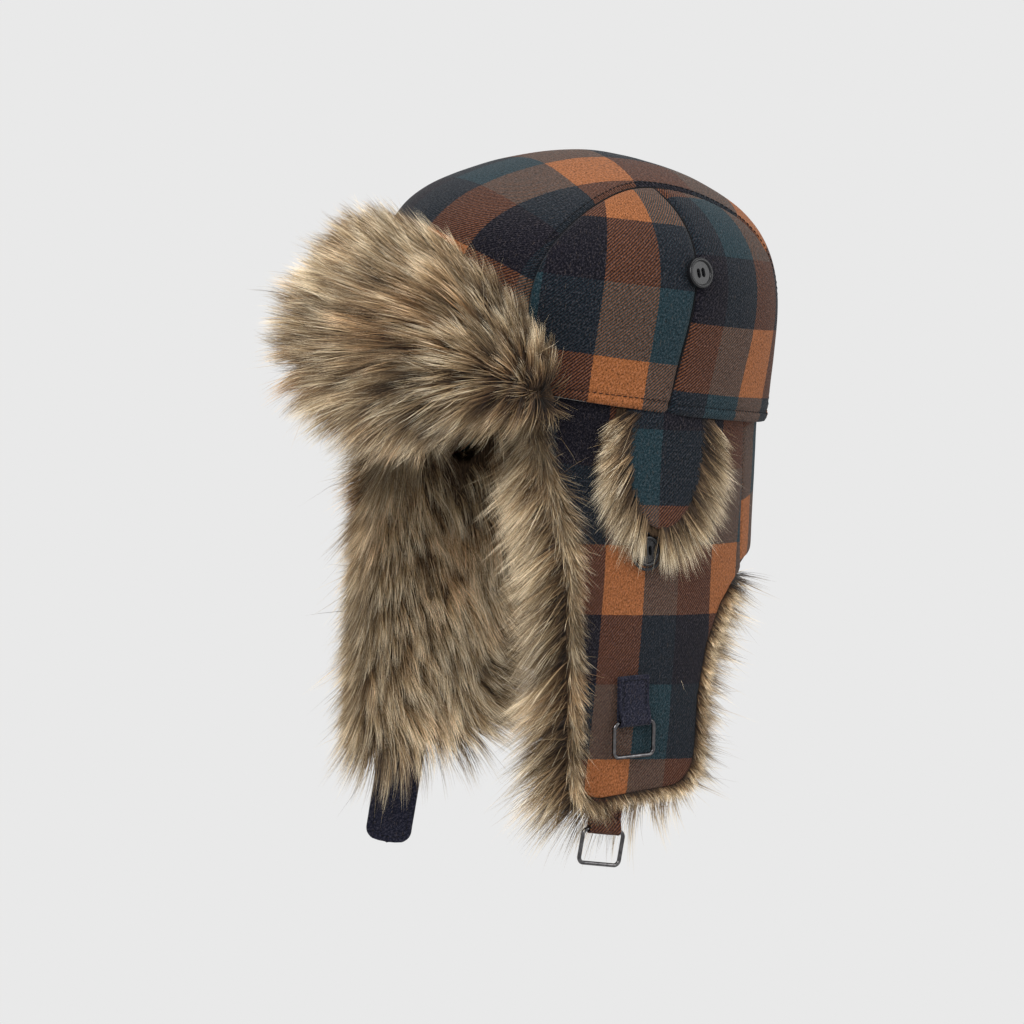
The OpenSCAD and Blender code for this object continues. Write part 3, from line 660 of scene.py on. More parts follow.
def stitches(lines, pitch=3.3, length=2.5, radius=0.26, lift=0.10):
    """Short thread stitches along (points, normals) lines, each a bent capsule that dips at both ends."""
    parts = []
    turn = np.linspace(0, 2 * np.pi, 6, endpoint=False)
    t = np.array([-0.5, -0.46, -0.25, 0.0, 0.25, 0.46, 0.5])
    fat = np.array([0.15, 0.7, 1.0, 1.0, 1.0, 0.7, 0.15])
    dip = np.array([-0.45, -0.25, 0.0, 0.08, 0.0, -0.25, -0.45])
    for points, normals in lines:
        p, tan, n = resample(np.asarray(points, float), np.asarray(normals, float), pitch, pitch / 2)
        if len(p) < 2:
            continue
        side = unit(np.cross(tan, n))
        centre = p[:, None] + tan[:, None] * (t * length)[:, None] + n[:, None] * (lift + dip)[:, None]
        ring = side[:, None, None] * np.cos(turn)[:, None] + n[:, None, None] * np.sin(turn)[:, None]
        v = centre[:, :, None] + ring * (radius * fat)[None, :, None, None]
        count, k, m = v.shape[:3]
        idx = np.arange(count * k * m).reshape(count, k, m)
        a, b = idx[:, :-1], idx[:, 1:]
        quads = np.stack([a, np.roll(a, -1, 2), np.roll(b, -1, 2), b], -1).reshape(-1, 4)
        parts.append((v.reshape(-1, 3), quads, np.zeros((v.size // 3, 2))))
    return merged(parts)


def stitch_piece(name, lines, body=None, **how):
    return mesh_piece(name, stitches(lines, **how), THREAD, body=body)


# ---- Fur ----
def fur_strands(body, kind, roots, normals, flow, length, seed, rise=(1.0, 0.3), lean=(0.5, 1.0),
                clump=0.62, per_clump=16, width=0.5, segments=4, sag=0.15, hue=0.45, spread=0.16, tone=0.5):
    """Tapered ribbons in clumps, which leave the roots along the normals and bend over along the flow."""
    r = np.random.default_rng(seed)
    n = len(roots)
    guides = np.sort(r.choice(n, max(2, n // per_clump), replace=False))
    tree = KDTree(len(guides))
    for i, g in enumerate(guides):
        tree.insert(roots[g], i)
    tree.balance()
    owner = guides[[tree.find(p)[1] for p in roots]]
    jitter = r.normal(0, spread, (n, 3))
    jitter = 0.75 * jitter[owner] + 0.35 * r.normal(0, spread, (n, 3))
    own_length = length * (1 + 0.13 * r.normal(size=n)[owner] + 0.10 * r.normal(size=n))
    stray = r.random(n) < 0.05
    jitter[stray] += r.normal(0, 0.25, (int(stray.sum()), 3))
    path = [roots]
    for k in range(segments):
        t = (k + 0.5) / segments
        d = normals * mix(rise[0], rise[1], t) + flow * mix(lean[0], lean[1], t) + DOWN * sag * t + jitter
        path.append(path[-1] + unit(d) * (own_length / segments)[:, None])
    path = np.stack(path, 1)
    pull = clump * r.uniform(0.55, 1.1, n) * ~stray
    share = (np.linspace(0, 1, segments + 1) ** 1.2)[None, :, None] * pull[:, None, None]
    path = mix(path, path[owner] + 0.25 * (roots - roots[owner])[:, None], share)
    tangent = unit(np.gradient(path, axis=1))
    face = unit(normals + 0.5 * r.normal(size=(n, 3)))
    side = unit(np.cross(tangent, face[:, None]))
    t = np.linspace(0, 1, segments + 1)
    taper = (1 - t) ** 0.65 * (0.55 + 0.45 * np.sin(np.pi * np.minimum(t * 1.4 + 0.25, 1)))
    w = width * r.uniform(0.6, 1.25, n)[:, None] * taper[None]
    left, right = path - side * w[..., None] / 2, path + side * w[..., None] / 2
    per = 2 * segments + 1
    verts = np.zeros((n, per, 3))
    verts[:, 0:-1:2], verts[:, 1:-1:2], verts[:, -1] = left[:, :-1], right[:, :-1], path[:, -1]
    base = (np.arange(n) * per)[:, None]
    quads = np.concatenate([base + 2 * k + np.array([0, 1, 3, 2]) for k in range(segments - 1)])
    tips = base + np.array([per - 3, per - 2, per - 1])
    patch = np.clip(hue + 0.38 * noise(roots, 26.0) + 0.14 * r.normal(size=n)[owner], 0, 0.999)
    tone = tone + 0.24 * noise(roots + 500, 14.0) + 0.24 * r.normal(size=n)[owner] + 0.18 * r.normal(size=n)
    tone = np.clip(tone, 0.02, 0.98)
    u = (np.floor(patch * HUES) + tone) / HUES
    along_hair = np.repeat(t, 2)[:-1] * 0.98 + 0.01
    uv = np.stack([np.repeat(u[:, None], per, 1), np.repeat(along_hair[None], n, 0)], -1).reshape(-1, 2)
    obj = new_object(f"{body}_{kind}_fur", verts.reshape(-1, 3), [quads, tips], {"OFBake": uv})
    obj.data.materials.append(FUR)
    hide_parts(f"{body}_fur")
    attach(obj, body)


def scatter(grid_of, count, seed, density=None):
    """count random points on a surface given by grid_of(u, v), evenly over its area, given as their u and v.
    """
    r = np.random.default_rng(seed)
    res = 160
    u, v = np.meshgrid(np.linspace(0, 1, res), np.linspace(0, 1, res))
    g = grid_of(u, v)
    cell = np.linalg.norm(np.cross(g[1:, :-1] - g[:-1, :-1], g[:-1, 1:] - g[:-1, :-1]), axis=-1)
    if density is not None:
        cell = cell * density(u[:-1, :-1], v[:-1, :-1])
    pick = r.choice(cell.size, count, p=(cell / cell.sum()).reshape(-1))
    i, j = np.unravel_index(pick, cell.shape)
    return (j + r.random(count)) / (res - 1), (i + r.random(count)) / (res - 1)


def grow_fur(body, kind, surface, count, flow_of, length_of, seed, centre, side=1, density=None, keep=None,
             outwards=False, **how):
    """Scatters roots over surface(u, v), finds their normals and flow, and grows the strands."""
    u, v = scatter(surface, count, seed, density)
    h = 1e-3
    p = surface(u, v)
    n = unit(np.cross(surface(u, v + h) - surface(u, v - h), surface(u + h, v) - surface(u - h, v)))
    away = np.sign(np.sum(n * (p - np.asarray(centre, float)), axis=1, keepdims=True))
    n *= away if outwards else -away
    flow, length = flow_of(p, n, u, v), length_of(p, u, v)
    if keep is not None:
        k = keep(p, u, v)
        p, n, flow, length = p[k], n[k], flow[k], length[k]
    flip = np.array([side, 1, 1])
    fur_strands(body, kind, p * flip, n * flip, flow * flip, length, seed + 1, **how)


def around(outline, count, r, middle):
    """Random points on an outline over the ear flap, the skin's normals and the ways out from middle."""
    run = distances(outline)
    s = r.uniform(0, run[-1], count)
    pick = lambda t: np.stack([np.interp(t, run, outline[:, i]) for i in range(3)], -1)
    at = pick(s)
    skin_n = ear_normal(at[:, 1], at[:, 2])
    away = unit(np.cross(unit(pick(s + 3) - pick(s - 3)), skin_n))
    return at, skin_n, away * np.sign(np.sum(away * (at - middle), axis=1, keepdims=True))


def blended(obj):
    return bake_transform(obj)


# ---- Crown ----
HEM_STITCH, SEAM_STITCH, SEAM_SOFT = 4.6, 1.9, 5.0


def seam_relief(d):
    """How far cloth is drawn in beside a seam, over the distance to it."""
    return -1.5 * np.exp(-(d / 1.5) ** 2) - 0.9 * np.exp(-d / SEAM_SOFT)


def crown_relief(g, seams, hem):
    """seams and hem are lists of distance fields: the cloth puffs between seams and dips at its stitching."""
    near = np.minimum.reduce(seams)
    lift = 0.9 + seam_relief(near) - 0.35 * np.exp(-((near - SEAM_STITCH) / 0.6) ** 2)
    for h in hem:
        lift = lift - 0.8 * np.exp(-((h - HEM_STITCH) / 0.9) ** 2) - 0.9 * np.exp(-h / 0.9)
    return lift + 0.55 * noise(g, 38.0) + 0.22 * noise(g, 13.0)


def hem_turn(h, plain=WOOL, turned=2.7):
    """Depth of the cloth's inner face: thicker where the hem is turned in."""
    return mix(turned, plain, smooth((h - 9) / 2))


STITCH_LINES = []

# Centre panel, one strip over the head
g = centre_grid(0, 260, 96)
first, last, left, right = edge_distances(g)
hem = np.minimum(first, last)
n = outward(g, (0, 0, 30))
outer = g + n * crown_relief(g, [left, right], [hem])[..., None]
inner = g - n * hem_turn(hem)[..., None]
lateral = along(g, 1) - along(g, 1)[:, 48:49]
forward = np.broadcast_to(along(g, 0)[:, 48:49], lateral.shape)
top_row = int(np.argmin(np.abs(g[:, 48, 1] + 12.6) + (g[:, 48, 2] < 100) * 500))
forward = forward - forward[top_row, 0]
turn = math.radians(9.5)
skew = lateral * math.cos(turn) - forward * math.sin(turn)
uv = np.stack([44 - skew, 18 - (forward * math.cos(turn) + lateral * math.sin(turn))], -1)
crown_centre = mesh_piece("crown_centre_cloth", shell(outer, inner, uv), PLAID,
                          ["crown_center_panel"], "crown")
for j in (3, 92):
    STITCH_LINES.append((outer[6:-6, j], n[6:-6, j]))
for end in (first, last):
    i = int(np.argmin(np.abs(end[:, 48] - HEM_STITCH)))
    STITCH_LINES.append((outer[i, 3:-3], n[i, 3:-3]))


def side_uv(g, th, side_part):
    """Plaid coordinates of a side panel: the distance round the hem leans with the panel's height."""
    ring_th = np.linspace(-SEAM_END, SEAM_END, 400)
    run = distances(crown_point(ring_th, np.full(400, 0.2)))
    place = lambda a: np.interp(a, ring_th, run)
    up = along(g, 0)
    if side_part == "front":
        return np.stack([place(th) - 0.135 * up - (place(math.radians(-31.5)) - 4.7), up + 11.3], -1)
    return np.stack([place(math.radians(22.2)) + 24.5 - (place(th) - 0.215 * up), 48 - up], -1)


for side, word in ((1, "left"), (-1, "right")):
    for part, first_col, last_col in (("front", 0, 1), ("rear", 1, 2)):
        gap = (0, math.radians(-0.07)) if part == "front" else (math.radians(0.07), 0)
        g = side_grid(0, first_col, last_col, 110, 90, gap)
        low, high, a, b = edge_distances(g)
        n = outward(g, (0, 0, 30))
        outer = g + n * crown_relief(g, [high, a, b], [low])[..., None]
        inner = g - n * hem_turn(low)[..., None]
        t = np.linspace(0, 1, 110)[:, None]
        th = side_th(np.linspace(first_col, last_col, 90)[None, :], t)
        cloth = shell(outer, inner, side_uv(g, th, part))
        obj = mesh_piece(f"crown_{word}_{part}_cloth", sided(cloth, side), PLAID,
                         [f"crown_{word}_{part}_panel"], "crown")
        flip = np.array([side, 1, 1])
        i = int(np.argmin(np.abs(low[:, 45] - HEM_STITCH)))
        STITCH_LINES.append((outer[i, 2:-2] * flip, n[i, 2:-2] * flip))
        if part == "rear":
            k = int(np.argmin(np.abs(high[:, 45] - SEAM_STITCH)))
            STITCH_LINES.append((outer[k, 3:-3] * flip, n[k, 3:-3] * flip))
stitch_piece("crown_topstitching", STITCH_LINES, "crown")


def seam_shade_thread(name, lines):
    """Thread that shows down in the crown's seams: a dark line that is partly the real seam thread and partly
    painted shade deepening the grooves.
    """
    parts = []
    turn = np.linspace(0, 2 * np.pi, 6, endpoint=False)
    for points, normals in lines:
        p, tan, n = resample(points, normals, 1.2)
        s = unit(np.cross(tan, n))
        ring = s[:, None] * np.cos(turn)[None, :, None] + n[:, None] * np.sin(turn)[None, :, None]
        wave = 0.12 * np.sin(np.arange(len(p)) * 2.4)[:, None, None]
        v = p[:, None] + ring * (SEAM_SHADE_THREAD_R + wave)
        idx = np.arange(len(p) * 6).reshape(len(p), 6)
        a, b = idx[:-1], idx[1:]
        quads = np.stack([a, np.roll(a, -1, 1), np.roll(b, -1, 1), b], -1).reshape(-1, 4)
        parts.append((v.reshape(-1, 3), quads, np.zeros((v.size // 3, 2))))
    mesh_piece(name, merged(parts), THREAD, body="crown")


# A dark thread runs along every seam groove, partly painted shade.
seam_lines = []
for side in (1, -1):
    flip = np.array([side, 1, 1])
    whole = side_grid(-1.1, 0, 2, 120, 181)
    wn = outward(whole, (0, 0, 30))
    seam_lines.append((whole[-1, 1:-1] * flip, wn[-1, 1:-1] * flip))
    seam_lines.append((whole[2:, 90] * flip, wn[2:, 90] * flip))
    for j in (0, -1):
        seam_lines.append((whole[2:, j] * flip, wn[2:, j] * flip))
seam_shade_thread("crown_seam_shade_thread", seam_lines)

# Wadding and quilted lining
wad_parts, lining_parts, lining_area = [], [], 0.0


def crown_layers(off, rows, cols):
    return [centre_grid(off, rows, cols), side_grid(off, 0, 2, rows // 2, cols)]


QUILT = 26.0
for k, (o_out, o_in, l_out, l_in) in enumerate(zip(
        crown_layers(-WAD_IN - 0.9, 120, 50), crown_layers(-WAD_IN - WAD + 0.2, 120, 50),
        crown_layers(-LINING_IN, 200, 110), crown_layers(-LINING_IN - LINING, 200, 110))):
    wn = outward(o_out, (0, 0, 30))
    inside = o_in + wn * (0.5 * noise(o_in, 9.0))[..., None]
    wad = shell(o_out + wn * (0.4 * noise(o_out, 9.0))[..., None], inside)
    a, b = along(l_in, 1), along(l_in, 0)
    a = a - a[:, a.shape[1] // 2:a.shape[1] // 2 + 1]
    quilt = np.abs(np.sin(np.pi * (a + b) / QUILT) * np.sin(np.pi * (a - b) / QUILT)) ** 0.4
    ln = outward(l_in, (0, 0, 30))
    puff = ln * (1.6 * quilt + 0.25 * noise(l_in, 7.0))[..., None]
    soft = shell(l_out, l_in - puff + ln * 0.6, np.stack([a, b], -1))
    lining_area += cloth_area(l_out) * (1 if k == 0 else 2)
    for side in (1,) if k == 0 else (1, -1):
        wad_parts.append(sided(wad, side))
        lining_parts.append(sided(soft, side))
wadding = mesh_piece("crown_wadding_pad", merged(wad_parts), WADDING, ["crown_wadding"], "crown")
lining = mesh_piece("crown_quilted_lining", merged(lining_parts), LINING_CLOTH,
                    ["crown_lining"], "crown")

# ---- Ear flaps ----
GRAIN, FLAP_STRETCH = math.radians(8), 1.16
FLAP_UV, COVER_UV = (-46.0, -105.1), (14.5, -83.5)


def flap_uv(g, origin, stretch=1.0):
    """Plaid coordinates on a flap: distance round it from the middle, and height, turned to the grain."""
    turn = GRAIN
    run = along(g, 1)
    mid = np.array([np.interp(EAR_MID, row[:, 1], r) for row, r in zip(g, run)])[:, None]
    y, z = run - mid + EAR_MID, g[..., 2]
    across = y * math.cos(turn) - z * math.sin(turn) - origin[0]
    down = y * math.sin(turn) + z * math.cos(turn) - origin[1]
    return np.stack([stretch * across, down], -1)


HOLE_AT = hem_point(COVER_S, -COVER_L / 2 - 2)


def cut_hole(obj, side, radius):
    """Cuts the round hearing hole through a flap piece."""
    at = (side * 0.08, HOLE_AT[0] * MM, HOLE_AT[1] * MM)
    bpy.ops.mesh.primitive_cylinder_add(vertices=96, radius=radius * MM, depth=0.12, location=at,
                                        rotation=(0, math.pi / 2, 0))
    cutter = bpy.context.object
    bpy.ops.object.transform_apply(rotation=True, location=True)
    mod = obj.modifiers.new("hole", "BOOLEAN")
    mod.operation, mod.object, mod.solver = "DIFFERENCE", cutter, "EXACT"
    bpy.context.view_layer.objects.active = obj
    bpy.ops.object.modifier_apply(modifier=mod.name)
    bpy.data.objects.remove(cutter)


def flap_surface(off, **margins):
    """The left ear flap as a function of u along it and v down it, both from 0 to 1."""
    g = ear_grid(off, 140, 120, **margins)

    def at(u, v):
        i, j = np.clip(v, 0, 1) * 139, np.clip(u, 0, 1) * 119
        i0, j0 = np.minimum(i.astype(int), 138), np.minimum(j.astype(int), 118)
        fi, fj = (i - i0)[..., None], (j - j0)[..., None]
        return mix(mix(g[i0, j0], g[i0, j0 + 1], fj), mix(g[i0 + 1, j0], g[i0 + 1, j0 + 1], fj), fi)
    return at


def ear_thick(g, share):
    """Depth of the pile over the flap's grid, as in the CAD, times share."""
    rows, cols = g.shape[:2]
    u = np.linspace(0, 1, cols)[None, :]
    v = np.sin(np.pi / 2 * np.linspace(0, 1, rows))[:, None]
    down = np.clip(np.sin(np.radians(155 * v + 25)), 0, 1) ** 0.7
    return share * mix(8, EAR_FUR, np.sin(np.pi * u) ** 0.5 * down)


SKIN = WOOL + 1.0
EAR_MIDDLE = (0, -20, -90)
for side, word in ((1, "left"), (-1, "right")):
    body, cover_body = f"ear_flap_{word}", f"ear_cover_{word}"
    flip = np.array([side, 1, 1])
    g = ear_grid(0, 150, 110, up=4.5)
    n = outward(g, EAR_MIDDLE)
    top, low, front, rear = edge_distances(g)
    edge = np.minimum(np.minimum(front, rear), low)
    lift = -0.9 * np.exp(-edge / 1.3) + 0.45 * noise(g, 34.0) + 0.2 * noise(g, 12.0)
    outer, inner = g + n * lift[..., None], g - n * WOOL
    cloth = shell(outer, inner, flap_uv(g, FLAP_UV, FLAP_STRETCH))
    obj = mesh_piece(f"{body}_cloth", sided(cloth, side), PLAID)
    cut_hole(obj, side, HOLE_R)
    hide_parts(f"{body}_shell")
    blended(obj)

    # Underfur: a dense body under the long hair
    g_in = ear_grid(0, 90, 70, front_by=2, rear_by=0, low_by=1)
    n_in = -outward(g_in, EAR_MIDDLE)
    thin_edge = smooth(np.minimum.reduce(edge_distances(g_in)) / 14 + 0.25)
    deep = ear_thick(g_in, 0.42) * (1 + 0.25 * noise(g_in, 11.0)) * thin_edge
    base_near = g_in + n_in * SKIN
    base_far = g_in + n_in * (SKIN + 1.5 + deep)[..., None]
    obj = mesh_piece(f"{body}_underfur", sided(shell(base_near, base_far), side), UNDERFUR)
    cut_hole(obj, side, HOLE_R + 1)
    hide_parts(f"{body}_fur")
    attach(obj, body)

    def flap_flow(p, n, u, v):
        """Down the flap, and outwards at its front, lower and rear edges."""
        ahead = smooth((0.30 - u) / 0.30)[:, None]
        behind = smooth((u - 0.72) / 0.28)[:, None]
        out = np.array([-0.15, -1.0, 0.0]) * ahead * 0.95 + np.array([-0.25, 1.0, 0.0]) * behind * 1.2
        d = DOWN + out + 0.35 * np.stack([0 * u, noise(p, 22.0), 0.5 * noise(p + 90, 22.0)], -1)
        return flat_on(d, n)

    clear = lambda p, u, v: (np.hypot(p[:, 1] - HOLE_AT[0], p[:, 2] - HOLE_AT[1] - 12) > HOLE_R + 9)
    inside = flap_surface(-SKIN)
    long_hair = lambda p, u, v: 30 - 7 * smooth((0.25 - v) / 0.25) - 6 * smooth((u - 0.75) / 0.25)
    # tone=0.66 makes this inner pile lighter than the other fur: painted light that lifts it where it lies in
    # the flap's shade.
    grow_fur(body, "long", inside, 22000, flap_flow, long_hair, 100 + 10 * (side < 0), EAR_MIDDLE, side,
             keep=clear, rise=(0.9, 0.25), lean=(0.45, 1.0), width=0.42, sag=0.25, clump=0.45, per_clump=12,
             tone=0.66)

    # The pile that stands out past the cloth's front, lower and rear edges
    def rim_flow(p, n, u, v):
        out = np.array([-0.12, -1.0, -0.75]) * smooth((0.5 - u) / 0.2)[:, None]
        out = out + np.array([-0.25, 1.0, -0.45]) * smooth((u - 0.5) / 0.3)[:, None]
        lowest = smooth((v - 0.86) / 0.12)[:, None]
        tousled = 0.22 * np.stack([0 * u, noise(p, 12.0), noise(p + 50, 12.0)], -1)
        return unit(mix(out, np.array([-0.1, 0.0, -1.0]) + 0.35 * out, lowest) + tousled)

    def rim_density(u, v):
        d = np.maximum(smooth((0.10 - u) / 0.10), smooth((v - 0.90) / 0.10))
        return np.maximum(d, 1.6 * smooth((u - 0.90) / 0.10) * (v > 0.29)) + 1e-6

    def rim_hair(p, u, v):
        shares = np.random.default_rng(9).uniform(0.55, 1.0, len(u))
        return mix(46, 44, smooth((u - 0.4) / 0.4)) * (0.55 + 0.45 * smooth(v / 0.1)) * shares

    grow_fur(body, "edge", inside, 22000, rim_flow, rim_hair, 300 + 10 * (side < 0), EAR_MIDDLE, side,
             density=rim_density, rise=(0.45, 0.05), lean=(0.8, 1.0), width=0.44, sag=0.18, per_clump=10,
             clump=0.5, hue=0.35)

    # Pile that laps from the edge over the cloth
    r = np.random.default_rng(400 + (side < 0))
    rim = ear_grid(-0.9, 300, 160)
    behind_from = int(np.argmax(rim[:, -1, 2] < -96))
    outline = np.concatenate([rim[6:-1, 0], rim[-1], rim[-2:behind_from:-1, -1]])
    at, skin_n, away = around(outline, 13000, r, np.array([80.0, -30.0, -100.0]))
    curl = skin_n * 0.9 + away * r.uniform(-0.45, 0.5, (len(at), 1)) + DOWN * 0.7
    curl = unit(curl + 0.2 * r.normal(size=(len(at), 3)))
    share = np.where(at[:, 1] < -60, 1 + 0.8 * smooth((at[:, 2] + 80) / 50), 0.6)
    fur_strands(body, "lap", at * flip, away * flip, curl * flip, r.uniform(10, 18, len(at)) * share,
                410 + (side < 0), rise=(0.4, 0.0), lean=(0.9, 1.0), width=0.4, clump=0.4, per_clump=9,
                sag=0.25, spread=0.14, tone=0.48)

    # ---- Ear cover ----
    near = lambda p: np.where(p > 7, cover_off(p), mix(2.4, cover_off(7), smooth((p + 3) / 10)))
    g = cover_grid(near, 90, 80, COVER_W, COVER_L, 3, start=-3)
    n = outward(g, (0, -20, -40))
    top, low, front, rear = edge_distances(g)
    edge = np.minimum(np.minimum(front, rear), low)
    lift = 0.5 - 1.3 * np.exp(-edge / 1.6) + 0.3 * noise(g, 20.0)
    cloth = shell(g + n * lift[..., None], g - n * WOOL, flap_uv(g, COVER_UV))
    obj = mesh_piece(f"{cover_body}_cloth", sided(cloth, side), PLAID, [f"{cover_body}_shell"])
    blended(obj)

    g_trim = cover_grid(0.6, 60, 50, COVER_W + 4, COVER_L + 4, 4, start=1.5)
    g_top = cover_grid(lambda p: cover_off(p) - WOOL - GAP, 60, 50, COVER_W + 4, COVER_L + 4, 4, start=1.5)
    at_button = np.array(hem_point(BUTTON_S, -REACH))
    mesh_piece(f"{cover_body}_underfur", sided(shell(g_top, g_trim), side), UNDERFUR,
               [f"{cover_body}_fur"], cover_body)

    r = np.random.default_rng(500 + (side < 0))
    count = 9000
    p_edge = cover_grid(0, 400, 3, COVER_W, COVER_L, 3, start=1.5)
    outline = np.concatenate([p_edge[:, 0], p_edge[::-1, 2]])
    at, skin_n, away = around(outline, count, r, np.array([85.0, *hem_point(COVER_S, -30)]))
    inset = r.uniform(0, 9, count)
    roots = at - away * inset[:, None] + skin_n * (r.uniform(0.8, 3.2, count) + 1.2)[:, None]
    flow = unit(away * 1.0 + DOWN * 0.75 + 0.12 * r.normal(size=(count, 3)))
    flow = flat_on(flow, skin_n)
    length = (22 + inset + r.normal(0, 2.2, count)) * (0.72 + 0.28 * smooth(-(at[:, 2] + 2) / 22))
    # The pile parts round the button
    steps = roots[:, None] + flow[:, None] * length[:, None, None] * np.linspace(0, 1, 7)[None, :, None]
    k = (np.hypot(steps[..., 1] - at_button[0], steps[..., 2] - at_button[1]) > BUTTON_CLEAR).all(axis=1)
    fur_strands(cover_body, "long", roots[k] * flip, (skin_n * flip)[k], (flow * flip)[k], length[k],
                510 + (side < 0), rise=(0.22, 0.12), lean=(1.0, 1.0), width=0.4, clump=0.5, per_clump=10,
                sag=0.1, spread=0.11, tone=0.42, hue=0.35)


# ---- Neck flap ----
g = neck_grid(0, 60, 150, NECK_DROP, up=4.5)
n = outward(g, (0, 0, -50))
top, low, a, b = edge_distances(g)
edge = np.minimum(np.minimum(a, b), low)
outer = g + n * (-0.8 * np.exp(-edge / 1.3) + 0.45 * noise(g, 34.0) + 0.2 * noise(g, 12.0))[..., None]
run = along(g, 1)
uv = np.stack([run - run[:, 75:76] + 12, g[..., 2] + 91.5], -1)
neck = mesh_piece("neck_flap_cloth", shell(outer, g - n * WOOL, uv), PLAID, ["neck_flap_shell"])
blended(neck)
g_in = neck_grid(-SKIN, 50, 90, NECK_DROP + 3)
far = neck_grid(-SKIN - 9, 50, 90, NECK_DROP + 3)
nn = outward(g_in, (0, 0, -50))
far = far + nn * (2.0 * noise(far, 10.0))[..., None]
mesh_piece("neck_flap_underfur", shell(g_in, far), UNDERFUR, ["neck_flap_fur"], "neck_flap")


def neck_surface(u, v):
    depth = mix(HEM_GAP, NECK_DROP + hem_z(CROWN_B * np.cos(NECK_HALF * (2 * u - 1))), v)
    shrink = 1 - NECK_TAPER * depth / NECK_LEN
    end = np.arcsin((SPLIT_Y + SPLIT_GAP) / ((CROWN_B - INSET) * shrink))
    th = np.pi / 2 + (np.pi / 2 - end) * (2 * u - 1)
    y = ((CROWN_B - INSET) * shrink - SKIN) * np.sin(th)
    return stack(((CROWN_A - INSET) * shrink - SKIN) * np.cos(th), y, hem_z(y) - depth)


def neck_flow(p, n, u, v):
    d = DOWN + 0.3 * np.stack([noise(p, 20.0), 0 * u, 0 * u], -1)
    return flat_on(d, n)


grow_fur("neck_flap", "long", neck_surface, 11000, neck_flow,
         lambda p, u, v: 24 - 6 * smooth((0.2 - v) / 0.2), 700, (0, 0, -50), rise=(0.8, 0.2), sag=0.3)

# ---- Front flap ----
backing_low = lambda u: np.full_like(u, HEM_GAP - 3.0)
g = front_grid(0, 60, 130, backing_low, front_top)
n = outward(g, (0, 0, 40))
run, up = along(g, 1), along(g, 0)
uv = np.stack([run - run[:, 65:66] + 20, up + 10], -1)
outer = g + n * (WOOL + 0.2 * noise(g, 20.0))[..., None]
obj = mesh_piece("front_flap_cloth", shell(outer, g, uv), PLAID, ["front_flap_backing"])
blended(obj)

fur_low = lambda u: -mix(FRONT_DROOP - 9, 1, smooth(np.abs(u) * 1.1))
fur_high = lambda u: front_top(u) + mix(5, 2, np.abs(u) ** 3)
FULL = lambda u: mix(FRONT_FUR, FRONT_FUR * 0.42, np.abs(u) ** 6)
SWELLING = lambda v: np.clip(np.sin(np.pi * np.sqrt(np.clip(v, 0, 1))), 0, 1) ** 0.6


def fur_base(q):
    """How far the pile's base stands off: past the backing, and more where it hangs below the hem."""
    return WOOL + GAP + 0.7 * np.maximum(0, -q)


def front_deep(u, v, q):
    return fur_base(q) + mix(5, FULL(u), SWELLING(v)) * 0.55


g_near = front_grid(lambda u, v, q: fur_base(q), 90, 140, fur_low, fur_high)
g_far = front_grid(front_deep, 90, 140, fur_low, fur_high)
flat_edge = smooth(np.minimum.reduce(edge_distances(g_far)) / 12)
g_far = g_far + outward(g_far, (0, 0, 40)) * (3.2 * noise(g_far, 13.0) * flat_edge)[..., None]
mesh_piece("front_flap_underfur", shell(g_far, g_near), UNDERFUR, ["front_flap_fur"],
           "front_flap")


def front_surface(share):
    def at(u, v):
        w = 2 * u - 1
        q = mix(fur_low(w), front_top(w), v)
        off = fur_base(q) + share * FULL(w) * SWELLING(np.clip(v, 0.004, 0.98))
        return front_point(-np.pi / 2 + FRONT_HALF * w, q, off)
    return at


RADIATE_FROM = (78.0, 3.0)


def front_flow(p, n, u, v):
    """Hair sweeps away from the flap's left lower end, up over the top and forward round the brow."""
    w = 2 * u - 1
    s = w * FRONT_HALF * CROWN_B
    q = mix(fur_low(w), front_top(w), v)
    ds, dq = s - RADIATE_FROM[0], q - RADIATE_FROM[1]
    reach = np.hypot(ds, dq) + 1e-6
    ds, dq = ds / reach, dq / reach
    sag = smooth((-ds) * 1.2) * 0.28 + 0.3 * smooth((16 - q) / 26)
    th = -np.pi / 2 + FRONT_HALF * w
    sideways = np.stack([-np.sin(th), np.cos(th), 0 * th], -1)
    upward = np.stack([0 * th, -0.12 + 0 * th, 1 + 0 * th], -1)
    wave = 0.32 * noise(p, 24.0) + 0.15 * noise(p + 70, 11.0)
    d = sideways * (ds + wave * -dq)[:, None] + upward * (dq - sag + wave * ds)[:, None]
    return flat_on(d, n)


def front_length(p, u, v):
    w = 2 * u - 1
    ends = np.where(w > 0, 20, 26)
    return mix(38, ends, np.clip(np.abs(w), 0, 1) ** 2.6) * (1 - 0.22 * smooth((v - 0.7) / 0.3))


for layer, share, count, seed, fat, rise in (("under", 0.28, 12000, 800, 0.55, (0.9, 0.35)),
                                             ("over", 0.62, 34000, 820, 0.42, (0.75, 0.22))):
    for half, word in ((0, "right"), (1, "left")):
        grow_fur("front_flap", f"{word}_{layer}", front_surface(share), count // 2, front_flow, front_length,
                 seed + half, (0, 0, 40), outwards=True,
                 density=lambda u, v: (u >= 0.5) + 0.0 if half else (u < 0.5) + 0.0,
                 rise=rise, lean=(0.6, 1.0), width=fat, sag=0.12, clump=0.5, tone=0.40)


# ---- Chin strap, tabs and small parts ----
def turned(axis, angle):
    """The rotation matrix about x, y or z (axis 0, 1 or 2)."""
    c, s = math.cos(angle), math.sin(angle)
    i, j = (axis + 1) % 3, (axis + 2) % 3
    turn = np.eye(3)
    turn[i, i], turn[i, j], turn[j, i], turn[j, j] = c, -s, s, c
    return turn


